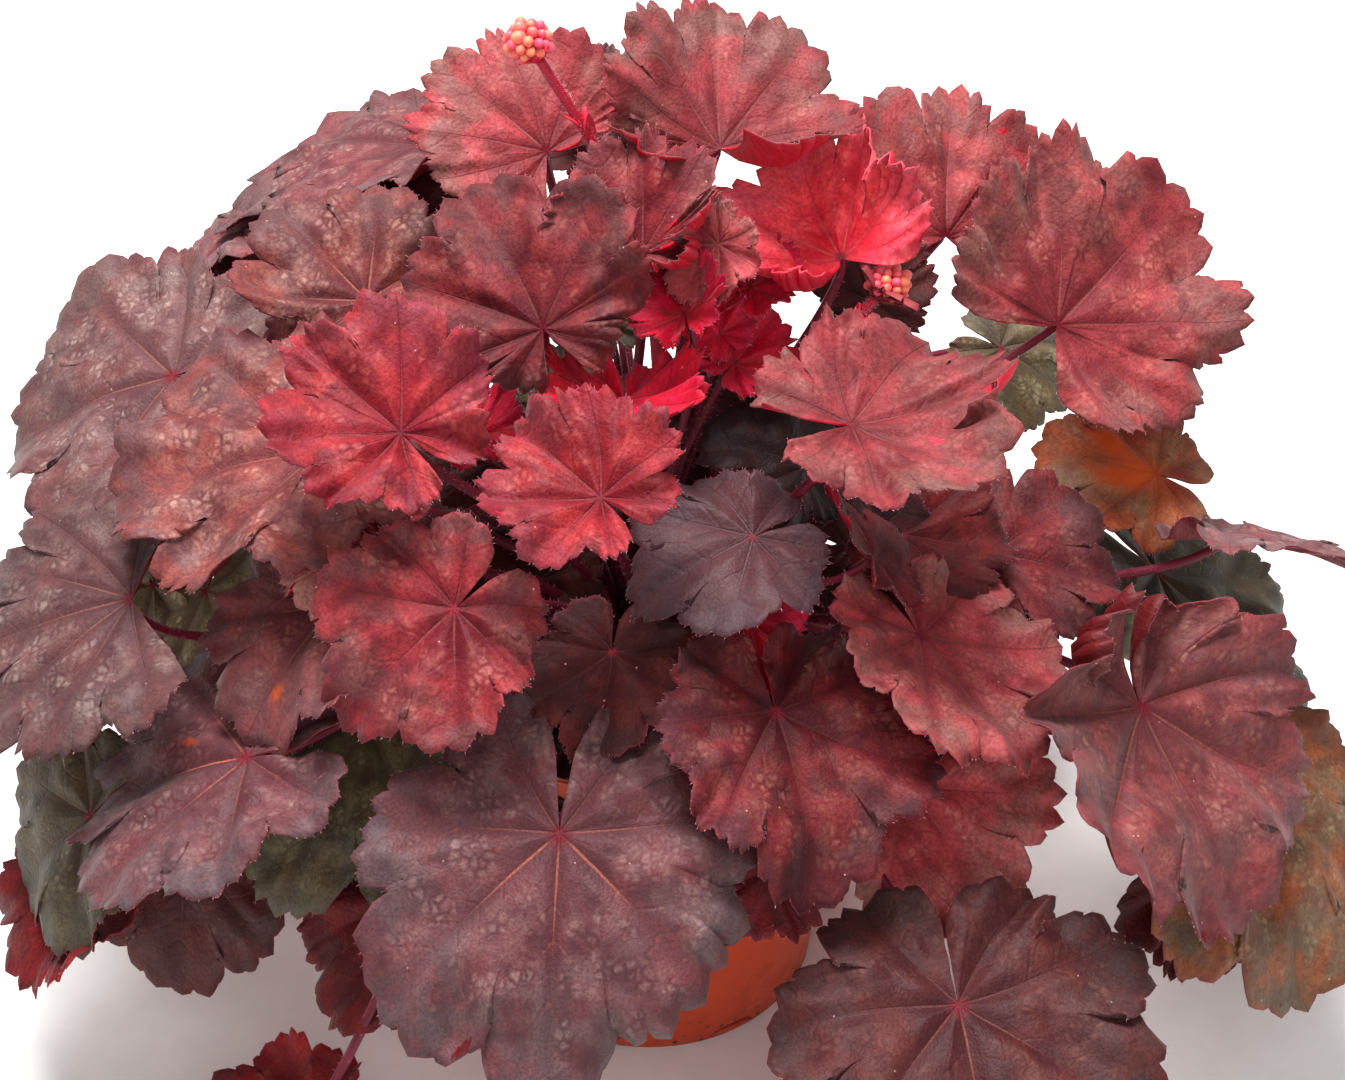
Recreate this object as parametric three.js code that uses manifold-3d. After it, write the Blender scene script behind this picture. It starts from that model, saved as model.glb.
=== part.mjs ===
// A heuchera (coral bells) in a round plastic nursery pot. Millimetres, +Z up.
// The origin is the centre of the pot's underside, on the surface that the pot stands on.
// The front of the plant, where the largest leaf hangs over the rim, is the -Y side.
//
// A leaf is one solid: a lobed, toothed blade on its leaf stalk. It is described by the point
// where the stalk joins the blade, by the way that the blade faces and by the way that its
// middle lobe points. All leaf stalks fan out of one woody crown, which sits in the soil.

import * as THREE from 'three';
import { mergeVertices } from 'three/addons/utils/BufferGeometryUtils.js';
import Module from 'manifold-3d';

const wasm = await Module();
wasm.setup();

// ---- driving dimensions ----------------------------------------------------------------

const CLEARANCE = 0.3; // between pieces that touch

const POT_HEIGHT = 120;
const POT_RIM_RADIUS = 65;
const POT_FOOT_RADIUS = 50;
const POT_WALL = 1.8;
const POT_FLOOR = 2.4;
const COLLAR_HEIGHT = 13;
const COLLAR_STEP = 2.2;
const COLLAR_FLARE = 1;
const ROUND_SIDES = 24;
const DRAIN_SLOTS = 6;
const DRAIN_WIDTH = 16;
const DRAIN_HEIGHT = 4.5;
const DRAIN_ARCH_SIDES = 8;

const SOIL_TOP = 108;
const SOIL_CROWNING = 3; // rise of the soil towards the crown
const SOIL_SHRINKAGE = 0.45; // gap between the soil and the pot's wall

const CROWN_RADIUS = 21;
const CROWN_SOCKET_DEPTH = 22;
const CROWN_DOME_HEIGHT = 15;
const CROWN_SIDES = 24;
const CROWN_DOME_STEPS = 6;
const CROWN_FOOT_RADIUS = 15;
const CROWN_FOOT_HEIGHT = 7;

const BLADE_THICKNESS = 0.9;
const BLADE_LENGTHENING = 0.3; // the middle lobe's share over the mean size, and the sinus's under it
const LOBE_PITCH = 47.5; // mean angle from one lobe's main vein to the next
const LOBE_CENTRES = [0, 48, 95, 144]; // angles of the lobes' main veins, on each side
const LOBE_BORDERS = [24, 72, 118, 175]; // angles of the notches between them; the last is the sinus
const LOBE_NOTCH = 0.17;
const NOTCH_SHARPNESS = 2.2;
const TOOTH_DEPTH = 0.05;
const TOOTH_UNEVENNESS = 0.5;
const BASAL_ROUNDING = 0.4; // how far the two lobes beside the sinus are rounded off
const INNER_RING = 0.52;
const SMALL_BLADE = 37; // below this size a lobe has fewer teeth
const BIG_WAVES = 5; // round the margin
const SMALL_WAVES = 8;
const SMALL_WAVE_SHARE = 0.6;

const STALK_RADIUS = 1.5;
const SPROUT_STALK_RADIUS = 1.1;
const SPROUT_SIZE = 22; // blades below this size stand on the thinner stalks
const STALK_SIDES = 4;
const STALK_STEPS = 5;
const STALK_INSET = 0.09; // the stalk meets the blade this far along its middle vein, as a share of size
const STALK_BASE_RISE = 32; // elevation of a level stalk's foot on the crown
const STALK_RISE_GAIN = 0.62; // and how far that follows the leaf's own height
const STALK_RISE_RANGE = [14, 86];
const STALK_LIFT = 14; // it sets off this much steeper than straight out of the crown
const STALK_LIFT_RANGE = [48, 88];
const STALK_FIRST_PULL = 0.4; // pulls on the curve, as shares of its length
const LOW_LEAF = { z: 100, under: 0.1, behind: 0.26 };
const HIGH_LEAF = { z: 180, under: 0.24, behind: 0.06 };

const FLOWER_STALK_RADIUS = 1.6;
const FLOWER_STALK_SIDES = 6;
const FLOWER_STALK_STEPS = 9;
const BUDS = 12; // on each head
const BUD_SHARE = 0.42; // of the head's radius
const BUD_CORE_SHARE = 0.85;
const HEAD_SEAT_SHARE = 1.2; // the stalk ends this far from the middle of its head

// ---- small tools -------------------------------------------------------------------------

const radians = THREE.MathUtils.degToRad;

// A repeatable random number from 0 to 1, the same for the same two whole numbers.
function draw(seed, index) {
  const s = Math.sin(seed * 127.1 + index * 311.7) * 43758.5453;
  return s - Math.floor(s);
}

function heading(azimuth, elevation) {
  const a = radians(azimuth);
  const e = radians(elevation);
  return new THREE.Vector3(Math.cos(e) * Math.cos(a), Math.cos(e) * Math.sin(a), Math.sin(e));
}

function toSolid(geometry) {
  const bare = geometry.index ? geometry.clone() : geometry;
  bare.deleteAttribute('normal');
  bare.deleteAttribute('uv');
  const merged = mergeVertices(bare, 1e-4);
  return new wasm.Manifold(new wasm.Mesh({
    numProp: 3,
    vertProperties: new Float32Array(merged.attributes.position.array),
    triVerts: new Uint32Array(merged.index.array),
  }));
}

function toGeometry(solid) {
  const mesh = solid.getMesh();
  const geometry = new THREE.BufferGeometry();
  geometry.setAttribute('position', new THREE.BufferAttribute(mesh.vertProperties, 3));
  geometry.setIndex(new THREE.BufferAttribute(mesh.triVerts, 1));
  geometry.computeVertexNormals();
  return geometry;
}

function join(geometries) {
  return toGeometry(geometries.map(toSolid).reduce((sum, next) => sum.add(next)));
}

// A lathe turns about Y, so its result is stood up along Z.
function turned(profile, sides) {
  const points = profile.map(([r, z]) => new THREE.Vector2(r, z));
  return new THREE.LatheGeometry(points, sides).rotateX(Math.PI / 2);
}

function tube(curve, radius, sides, steps) {
  const section = new THREE.Shape();
  for (let i = 0; i < sides; i += 1) {
    const a = (2 * Math.PI * i) / sides;
    const move = i === 0 ? 'moveTo' : 'lineTo';
    section[move](radius * Math.cos(a), radius * Math.sin(a));
  }
  section.closePath();
  return new THREE.ExtrudeGeometry(section, { steps, extrudePath: curve, bevelEnabled: false });
}

// ---- materials -------------------------------------------------------------------------

function finish(color, roughness) {
  return new THREE.MeshStandardMaterial({ color, roughness, metalness: 0 });
}

const FINISHES = {
  pot: finish(0xa8442f, 0.45),
  soil: finish(0x2a1f1a, 0.95),
  crown: finish(0x4a2a22, 0.85),
  young: finish(0xc2333f, 0.5),
  mature: finish(0x8f3a40, 0.5),
  old: finish(0x6d4148, 0.5),
  olive: finish(0x5a4a3c, 0.55),
  stalk: finish(0x8a1c38, 0.5),
  buds: finish(0xe98a78, 0.5),
};

// ---- pot, soil and crown ---------------------------------------------------------------

function wallRadius(z) {
  const shoulder = POT_HEIGHT - COLLAR_HEIGHT;
  const shoulderRadius = POT_RIM_RADIUS - COLLAR_STEP - COLLAR_FLARE;
  return THREE.MathUtils.lerp(POT_FOOT_RADIUS, shoulderRadius, z / shoulder);
}

function potGeometry() {
  const shoulder = POT_HEIGHT - COLLAR_HEIGHT;
  const body = turned([
    [0, 0],
    [POT_FOOT_RADIUS, 0],
    [wallRadius(shoulder), shoulder],
    [wallRadius(shoulder) + COLLAR_STEP, shoulder],
    [POT_RIM_RADIUS, POT_HEIGHT],
    [POT_RIM_RADIUS - POT_WALL, POT_HEIGHT],
    [wallRadius(shoulder) + COLLAR_STEP - POT_WALL, shoulder + POT_WALL],
    [wallRadius(shoulder) - POT_WALL, shoulder - POT_WALL],
    [wallRadius(POT_FLOOR) - POT_WALL, POT_FLOOR],
    [0, POT_FLOOR],
  ], ROUND_SIDES);
  let pot = toSolid(body);
  for (let i = 0; i < DRAIN_SLOTS; i += 1) {
    const arch = new THREE.CylinderGeometry(DRAIN_HEIGHT, DRAIN_HEIGHT, DRAIN_WIDTH, DRAIN_ARCH_SIDES);
    arch.scale(DRAIN_WIDTH / (2 * DRAIN_HEIGHT), 1, 1);
    arch.translate(0, POT_FOOT_RADIUS, 0);
    arch.rotateZ((2 * Math.PI * (i + 0.5)) / DRAIN_SLOTS);
    pot = pot.subtract(toSolid(arch));
  }
  return toGeometry(pot);
}

function soilGeometry() {
  const bottom = POT_FLOOR + DRAIN_HEIGHT;
  const edge = (z) => wallRadius(z) - POT_WALL - SOIL_SHRINKAGE;
  const socket = CROWN_RADIUS + CLEARANCE;
  const crownBase = SOIL_TOP - CROWN_SOCKET_DEPTH;
  return turned([
    [0, bottom],
    [edge(bottom), bottom],
    [edge(SOIL_TOP - COLLAR_STEP), SOIL_TOP - COLLAR_STEP],
    [(edge(SOIL_TOP) + socket) / 2, SOIL_TOP],
    [socket, SOIL_TOP + SOIL_CROWNING],
    [socket, crownBase],
    [0, crownBase],
  ], ROUND_SIDES);
}

function crownGeometry() {
  const base = SOIL_TOP - CROWN_SOCKET_DEPTH + CLEARANCE;
  const dome = [];
  for (let i = 0; i < CROWN_DOME_STEPS; i += 1) {
    const a = (Math.PI / 2) * (i / CROWN_DOME_STEPS);
    dome.push([CROWN_RADIUS * Math.cos(a), SOIL_TOP + CROWN_DOME_HEIGHT * Math.sin(a)]);
  }
  return turned([
    [0, base],
    [CROWN_FOOT_RADIUS, base],
    [CROWN_RADIUS, base + CROWN_FOOT_HEIGHT],
    ...dome,
    [0, SOIL_TOP + CROWN_DOME_HEIGHT],
  ], CROWN_SIDES);
}

// The crown's dome is half an ellipsoid about this point.
const CROWN_CENTRE = new THREE.Vector3(0, 0, SOIL_TOP);
const CROWN_SPREAD = new THREE.Vector3(CROWN_RADIUS, CROWN_RADIUS, CROWN_DOME_HEIGHT);

// Where a round stalk that sets off towards lift stands on the dome, with its rim just clear.
function onCrown(azimuth, elevation, lift, radius) {
  const way = heading(azimuth, elevation);
  const normal = way.clone().divide(CROWN_SPREAD).normalize();
  const dip = radius * Math.sin(normal.angleTo(lift));
  return way.multiply(CROWN_SPREAD).add(CROWN_CENTRE).addScaledVector(normal, CLEARANCE + dip);
}

// ---- the blade -------------------------------------------------------------------------

// How a blade is bent. cup lifts the whole margin, fold lifts the two sides like an open
// book, droop lets the middle lobe hang, pleat lifts the strips between the main veins and
// wave ripples the margin. All are shares of the blade's size.
const HABITS = {
  young: { cup: 0.1, fold: 0.16, droop: 0.06, pleat: 0.07, wave: 0.06 },
  mature: { cup: 0.02, fold: 0.1, droop: 0.12, pleat: 0.05, wave: 0.05 },
  old: { cup: -0.06, fold: 0.05, droop: 0.16, pleat: 0.04, wave: 0.04 },
  olive: { cup: -0.08, fold: 0.02, droop: 0.18, pleat: 0.04, wave: 0.04 },
};

// The plain rounded outline, before lobes and teeth, with the stalk's joint as its centre.
function bladeRadius(size, angle) {
  const a = radians(angle);
  const e = BLADE_LENGTHENING;
  return size * (e * Math.cos(a) + Math.sqrt(1 - (e * Math.sin(a)) ** 2));
}

// Height over the joint's plane. reach is 0 at the joint and 1 at the plain outline.
function bladeHeight(leaf, x, y, angle, reach) {
  const { size, cup, fold, droop, pleat, wave, seed } = leaf;
  const turn = radians(angle);
  const between = 0.5 - 0.5 * Math.cos(turn * (360 / LOBE_PITCH));
  const ripple = Math.sin(turn * BIG_WAVES + seed * 2.4)
    + SMALL_WAVE_SHARE * Math.sin(turn * SMALL_WAVES + seed);
  const front = Math.max(x, 0) / size;
  const side = Math.abs(y) / size;
  return size * (cup * reach ** 2 + fold * side ** 1.5 - droop * front ** 2
    + pleat * between * reach + wave * ripple * reach ** 2);
}

// Points of one lobe's edge, from its first notch up to, but not with, its second one:
// place across the lobe from -1 to 1, and how far the edge stands out there.
const LOBE_EDGE = [[-1, 0], [-0.62, 1], [-0.38, -0.7], [0, 1.3], [0.38, -0.7], [0.62, 1]];
const SMALL_LOBE_EDGE = [[-1, 0], [-0.5, 0.8], [0, 1.3], [0.5, 0.8]];

// Each lobe as the angles of its first notch, its main vein and its second notch.
// The lobes close up like a fan where the sinus opens wider.
function lobesOf(leaf) {
  const closing = (180 - leaf.opens) / LOBE_BORDERS.at(-1);
  const borders = LOBE_BORDERS.map((angle) => angle * closing);
  const centres = LOBE_CENTRES.map((angle) => angle * closing);
  const right = centres.slice(1).map((centre, i) => [borders[i], centre, borders[i + 1]]);
  const left = right.map(([from, centre, to]) => [-to, -centre, -from]).reverse();
  return [...left, [-borders[0], 0, borders[0]], ...right];
}

// How far out the edge stands, as a share of the plain outline. side is -1 or 1 in the lobe
// that ends at the sinus, on that side, and 0 in the others.
function edgeReach(leaf, u, tooth, side, index) {
  const jitter = 1 + TOOTH_UNEVENNESS * (draw(leaf.seed, index) - 0.5);
  const rounding = Math.max(u * side, 0) ** 4 * BASAL_ROUNDING;
  const notch = LOBE_NOTCH * jitter * Math.abs(u) ** NOTCH_SHARPNESS;
  return 1 - Math.max(notch, rounding) + tooth * TOOTH_DEPTH * jitter;
}

// The blade's flat plan. edge is the toothed edge as polar points, from one side of the sinus
// round to the other. inner are the angles of the points on the inner ring, each with the
// number of the edge point beside it.
function bladePlan(leaf) {
  const lobes = lobesOf(leaf);
  const pattern = leaf.size < SMALL_BLADE ? SMALL_LOBE_EDGE : LOBE_EDGE;
  const edge = [];
  const inner = [{ angle: lobes[0][0], first: 0 }];
  lobes.forEach(([from, centre, to], k) => {
    const side = Math.sign(centre) * Number(k === 0 || k === lobes.length - 1);
    for (const [u, tooth] of pattern) {
      const angle = u < 0 ? centre + u * (centre - from) : centre + u * (to - centre);
      if (u === 0) {
        inner.push({ angle, first: edge.length });
      }
      edge.push({ angle, reach: edgeReach(leaf, u, tooth, side, edge.length) });
    }
  });
  const last = lobes.at(-1)[2];
  inner.push({ angle: last, first: edge.length });
  edge.push({ angle: last, reach: edgeReach(leaf, 1, 0, 1, edge.length) });
  return { edge, inner };
}

// Triangles between two neighbours on the inner ring and the stretch of edge beside them.
function stretchFaces(ring, edgeStart, from, to) {
  const faces = [];
  const half = Math.floor((from + to + 1) / 2);
  for (let j = from; j < to; j += 1) {
    faces.push([j < half ? ring : ring + 1, edgeStart + j, edgeStart + j + 1]);
  }
  faces.push([ring, edgeStart + half, ring + 1]);
  return faces;
}

function bladeGeometry(leaf) {
  const { edge, inner } = bladePlan(leaf);
  const place = (angle, reach) => {
    const r = reach * bladeRadius(leaf.size, angle);
    const x = r * Math.cos(radians(angle));
    const y = r * Math.sin(radians(angle));
    return [x, y, bladeHeight(leaf, x, y, angle, reach)];
  };
  const top = [[0, 0, 0]];
  inner.forEach(({ angle }) => top.push(place(angle, INNER_RING)));
  edge.forEach(({ angle, reach }) => top.push(place(angle, reach)));
  const edgeStart = 1 + inner.length;
  const faces = [];
  for (let i = 1; i < inner.length; i += 1) {
    faces.push([0, i, i + 1]);
    faces.push(...stretchFaces(i, edgeStart, inner[i - 1].first, inner[i].first));
  }
  const rim = [0, 1, ...edge.map((_, j) => edgeStart + j), inner.length];
  return thickened(top, faces, rim);
}

// Both faces are split alike, and the underside lies one thickness below the top.
function thickened(top, faces, rim) {
  const count = top.length;
  const positions = top.flat();
  top.forEach(([x, y, z]) => positions.push(x, y, z - BLADE_THICKNESS));
  const index = [];
  faces.forEach(([a, b, c]) => index.push(a, b, c, a + count, c + count, b + count));
  rim.forEach((a, i) => {
    const b = rim[(i + 1) % rim.length];
    index.push(a, a + count, b, b, a + count, b + count);
  });
  const geometry = new THREE.BufferGeometry();
  geometry.setAttribute('position', new THREE.Float32BufferAttribute(positions, 3));
  geometry.setIndex(index);
  return geometry;
}

// ---- the leaf --------------------------------------------------------------------------

// The blade's own axes: x towards its middle lobe, y across it and z out of its top face.
function bladeAxes(leaf) {
  const [azimuth, tilt] = leaf.faces;
  const normal = heading(azimuth, 90 - tilt);
  const along = heading(leaf.points, 0);
  along.addScaledVector(normal, -along.dot(normal)).normalize();
  return { along, across: new THREE.Vector3().crossVectors(normal, along), normal };
}

// The leaf stalk rises from the crown, leans out and meets the blade from below and behind.
function stalkCurve(leaf, axes) {
  const { clamp, lerp, inverseLerp, radToDeg } = THREE.MathUtils;
  const joint = new THREE.Vector3(...leaf.at);
  const out = joint.clone().sub(CROWN_CENTRE);
  const azimuth = leaf.starts ?? radToDeg(Math.atan2(out.y, out.x));
  const climb = radToDeg(Math.atan2(out.z, Math.hypot(out.x, out.y)));
  const rise = leaf.rise ?? clamp(STALK_BASE_RISE + climb * STALK_RISE_GAIN, ...STALK_RISE_RANGE);
  const lift = heading(azimuth, clamp(rise + STALK_LIFT, ...STALK_LIFT_RANGE));
  const start = onCrown(azimuth, rise, lift, leaf.stalk);
  const length = start.distanceTo(joint);
  const first = start.clone().addScaledVector(lift, length * STALK_FIRST_PULL);
  const upper = clamp(inverseLerp(LOW_LEAF.z, HIGH_LEAF.z, joint.z), 0, 1);
  const last = joint.clone()
    .addScaledVector(axes.normal, -length * lerp(LOW_LEAF.under, HIGH_LEAF.under, upper))
    .addScaledVector(axes.along, -length * lerp(LOW_LEAF.behind, HIGH_LEAF.behind, upper));
  first.z += leaf.arch;
  last.z += leaf.arch;
  const end = joint.clone()
    .addScaledVector(axes.normal, -BLADE_THICKNESS / 2)
    .addScaledVector(axes.along, leaf.size * STALK_INSET);
  return new THREE.CubicBezierCurve3(start, first, last, end);
}

function leafSolids(leaf) {
  const axes = bladeAxes(leaf);
  const turn = new THREE.Matrix4().makeBasis(axes.along, axes.across, axes.normal);
  const blade = bladeGeometry(leaf).applyMatrix4(turn.setPosition(...leaf.at));
  const stalk = tube(stalkCurve(leaf, axes), leaf.stalk, STALK_SIDES, STALK_STEPS);
  return [blade, stalk];
}

// One leaf. at: the joint. faces: azimuth and tilt from upright of the blade's top face.
// points: azimuth of the middle lobe. size: mean radius of the blade. Angles are in degrees.
// Of the rest, opens is half the angle of the sinus, starts and rise say where on the crown
// the stalk starts, if that isn't straight below the leaf, and arch lifts the stalk over the
// pot's rim.
function leaf(name, age, at, faces, points, size, rest = {}) {
  const stalk = size < SPROUT_SIZE ? SPROUT_STALK_RADIUS : STALK_RADIUS;
  const opens = 180 - LOBE_BORDERS.at(-1);
  return { name, age, at, faces, points, size, stalk, opens, arch: 0, ...HABITS[age], ...rest };
}

// Leaves of one name share a shoot: their stalks start at one point of the crown.
const LEAVES = [
  leaf('leaf_top_1', 'mature', [20, 46, 254], [-70, 44], 98, 34, { opens: 55, starts: 74, rise: 56 }),
  leaf('leaf_top_2', 'mature', [-28, 69, 240], [-75, 44], 135, 31, { opens: 55 }),
  leaf('leaf_top_3', 'mature', [-1, 15, 240], [-100, 52], 84, 25, { opens: 60, starts: 104, rise: 42 }),
  leaf('leaf_top_4', 'young', [53, 32, 228], [-110, 30], 55, 29, { opens: 45, starts: 30, rise: 80 }),
  leaf('leaf_top_5', 'mature', [-27, -3, 228], [-95, 50], 103, 33, { opens: 20, starts: 165, rise: 32 }),
  leaf('leaf_back_left_1', 'mature', [-80, 53, 201], [-75, 30], 132, 31),
  leaf('leaf_back_left_2', 'old', [-76, 91, 195], [-140, 17], 115, 37, { starts: 117, rise: 50 }),
  leaf('leaf_back_left_3', 'old', [-71, 140, 202], [115, 14], -170, 50, { starts: 108, rise: 20 }),
  leaf('leaf_back_left_4', 'old', [-126, 123, 182], [165, 30], -175, 29),
  leaf('leaf_left_1', 'old', [-140, 60, 170], [-130, 26], -178, 46),
  leaf('leaf_left_2', 'mature', [-89, -2, 188], [-120, 14], -178, 44),
  leaf('leaf_left_3', 'young', [-63, -30, 214], [-80, 32], 134, 29),
  leaf('leaf_left_4', 'old', [-141, -24, 154], [-130, 20], -130, 45, { opens: 40, starts: -178, rise: 43 }),
  leaf('leaf_left_5', 'olive', [-130, 19, 122], [-145, 34], -125, 29, { starts: 172, rise: 16 }),
  leaf('leaf_left_6', 'mature', [-83, -35, 162], [-150, 26], -138, 32, { starts: -152, rise: 50 }),
  leaf('leaf_left_7', 'mature', [-72, -26, 177], [-150, 20], 180, 22),
  leaf('leaf_heart_1', 'young', [-11, -55, 212], [-100, 26], 75, 25),
  leaf('leaf_heart_2', 'old', [28, -40, 188], [-90, 14], -113, 26, { starts: -80, rise: 68 }),
  leaf('leaf_heart_3', 'mature', [-9, -51, 158], [-110, 22], -96, 23),
  leaf('leaf_heart_4', 'old', [43, -3, 183], [-40, 40], 165, 21, { starts: 12, rise: 68 }),
  leaf('leaf_heart_5', 'mature', [61, -34, 176], [5, 52], 120, 20),
  leaf('sprout_1', 'young', [-47, 8, 186], [-90, 10], 100, 14, { starts: 140, rise: 84 }),
  leaf('sprout_1', 'young', [10, 6, 227], [-135, 30], 100, 14, { starts: 140, rise: 84 }),
  leaf('sprout_1', 'young', [24, 14, 206], [-60, 30], 60, 15, { starts: 140, rise: 84 }),
  leaf('sprout_2', 'young', [-6, -2, 205], [90, 30], -90, 21, { starts: -60, rise: 80 }),
  leaf('sprout_2', 'young', [28, -35, 154], [-90, 30], -80, 15, { starts: -60, rise: 80 }),
  leaf('leaf_front_1', 'old', [-22, -97, 136], [-98, 32], -94, 52),
  leaf('leaf_front_2', 'mature', [34, -69, 153], [-47, 26], -64, 37, { starts: -78, rise: 30 }),
  leaf('leaf_front_3', 'mature', [-49, -60, 180], [-98, 34], -98, 30),
  leaf('leaf_front_4', 'young', [34, -91, 122], [85, 86], 85, 20, { starts: -66, rise: 30, arch: 20 }),
  leaf('leaf_front_left_1', 'old', [-106, -66, 134], [-160, 20], -141, 45),
  leaf('leaf_front_left_2', 'olive', [-78, -36, 122], [-130, 26], -120, 43, { starts: -112, rise: 16 }),
  leaf('leaf_front_left_3', 'olive', [-132, -42, 76], [-110, 48], -105, 31, { starts: -132, rise: 35 }),
  leaf('leaf_front_left_4', 'olive', [-154, -55, 102], [-140, 48], -160, 31, { starts: -160, rise: 41 }),
  leaf('leaf_front_left_5', 'mature', [-157, -52, 74], [-150, 30], -144, 27, { starts: -178 }),
  leaf('leaf_front_left_6', 'mature', [-92, -112, 42], [-120, 16], -150, 27, { starts: -128, arch: 45 }),
  leaf(
    'leaf_front_left_7', 'mature', [-67, -77, 89], [-130, 44], -130, 28,
    { starts: -42, rise: 26, arch: 30 },
  ),
  leaf('leaf_right_1', 'mature', [87, 79, 206], [-65, 48], 100, 36, { opens: 55 }),
  leaf('leaf_right_2', 'mature', [117, 49, 195], [-70, 40], 58, 44),
  leaf('leaf_right_3', 'young', [53, -29, 216], [-100, 14], 15, 34, { opens: 15, starts: -66, rise: 60 }),
  leaf('leaf_right_4', 'mature', [71, -6, 162], [-69, 20], -1, 24),
  leaf('leaf_right_5', 'mature', [98, 3, 148], [-70, 16], -5, 28, { starts: -4, rise: 45 }),
  leaf('leaf_right_6', 'olive', [149, 40, 149], [-50, 27], 170, 26, { starts: 8, rise: 33 }),
  leaf('leaf_right_7', 'old', [168, 22, 141], [85, 60], -8, 33, { starts: -4, rise: 20 }),
  leaf('leaf_right_8', 'olive', [151, 30, 120], [-13, 32], -20, 47, { starts: 24 }),
  leaf('leaf_right_9', 'olive', [112, 122, 138], [-70, 35], -30, 22, { starts: 66, rise: 30 }),
  leaf('leaf_front_right_1', 'mature', [73, -44, 158], [-15, 21], -40, 34),
  leaf(
    'leaf_front_right_2', 'mature', [72, -53, 112], [-65, 42], -52, 34,
    { starts: -43, rise: 52, arch: 16 },
  ),
  leaf('leaf_front_right_3', 'mature', [134, -48, 136], [-30, 42], -50, 50),
  leaf('leaf_front_right_4', 'olive', [167, -36, 100], [-35, 34], -58, 48),
  leaf('leaf_front_right_5', 'mature', [155, -50, 76], [-50, 50], -80, 24, { starts: -28 }),
  leaf('leaf_front_right_6', 'old', [81, -119, 96], [-90, 18], -92, 51),
  leaf('leaf_back_1', 'mature', [-8, 96, 168], [90, 32], 95, 40, { starts: 92, rise: 62 }),
  leaf('leaf_back_1', 'olive', [-12, 96, 226], [-90, 30], 95, 19, { starts: 92, rise: 62 }),
  leaf('leaf_back_2', 'old', [-56, 112, 118], [115, 45], 118, 44, { starts: 122, rise: 40 }),
  leaf('leaf_back_2', 'olive', [-50, 34, 140], [-60, 20], -150, 30, { starts: 122, rise: 40 }),
  leaf('leaf_back_3', 'old', [34, 118, 110], [75, 45], 72, 44, { starts: 68, rise: 40 }),
  leaf('leaf_back_3', 'olive', [44, 50, 142], [-80, 20], 100, 30, { starts: 68, rise: 40 }),
  leaf('leaf_back_4', 'olive', [92, 96, 84], [45, 45], 48, 42, { starts: 46, rise: 36 }),
].map((each, i) => ({ ...each, seed: i + 1 }));

// ---- the flowering stalks ----------------------------------------------------------------

// Each starts on the crown, passes through its points and carries a head of buds.
const FLOWER_STALKS = [
  {
    name: 'flower_stalk_1',
    head: 'bud_head_1',
    starts: 80,
    rise: 70,
    through: [[3, 26, 195], [-2, 38, 230], [-13, 42, 255]],
    headAt: [-31, 46, 286],
    headRadius: 6,
  },
  {
    name: 'flower_stalk_2',
    head: 'bud_head_2',
    starts: 36,
    rise: 64,
    through: [[34, 14, 175], [52, 24, 205]],
    headAt: [66, 30, 221],
    headRadius: 5.4,
  },
];

function flowerStalkGeometry({ starts, rise, through, headAt, headRadius }) {
  const start = onCrown(starts, rise, heading(starts, 90), FLOWER_STALK_RADIUS);
  const between = through.map((p) => new THREE.Vector3(...p));
  const head = new THREE.Vector3(...headAt);
  const back = between.at(-1).clone().sub(head).normalize();
  const end = head.addScaledVector(back, headRadius * HEAD_SEAT_SHARE);
  const curve = new THREE.CatmullRomCurve3([start, ...between, end]);
  return tube(curve, FLOWER_STALK_RADIUS, FLOWER_STALK_SIDES, FLOWER_STALK_STEPS);
}

// Round buds packed over a small core, on a golden-angle spiral.
function budHeadGeometry({ headAt, headRadius }) {
  const golden = Math.PI * (3 - Math.sqrt(5));
  const solids = [new THREE.IcosahedronGeometry(headRadius * BUD_CORE_SHARE, 0)];
  for (let i = 0; i < BUDS; i += 1) {
    const height = 1 - (2 * (i + 0.5)) / BUDS;
    const out = Math.sqrt(1 - height * height);
    const place = new THREE.Vector3(out * Math.cos(i * golden), out * Math.sin(i * golden), height);
    const bud = new THREE.IcosahedronGeometry(headRadius * BUD_SHARE, 0);
    solids.push(bud.translate(...place.multiplyScalar(headRadius)));
  }
  return join(solids).translate(...headAt);
}

// ---- assembly --------------------------------------------------------------------------

const plant = new THREE.Group();
plant.name = 'heuchera_in_pot';

function add(name, geometry, material) {
  const mesh = new THREE.Mesh(geometry, material);
  mesh.name = name;
  plant.add(mesh);
}

add('pot', potGeometry(), FINISHES.pot);
add('soil', soilGeometry(), FINISHES.soil);
add('crown', crownGeometry(), FINISHES.crown);
for (const name of new Set(LEAVES.map((each) => each.name))) {
  const shoot = LEAVES.filter((each) => each.name === name);
  add(name, join(shoot.flatMap(leafSolids)), FINISHES[shoot[0].age]);
}
for (const flower of FLOWER_STALKS) {
  add(flower.name, flowerStalkGeometry(flower), FINISHES.stalk);
  add(flower.head, budHeadGeometry(flower), FINISHES.buds);
}

export default plant;
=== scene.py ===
# A heuchera (coral bells) in its plastic nursery pot, with its finishes, studio light and camera.
# Lengths are typed in millimetres and turned to metres where a mesh is made.

import math

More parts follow.
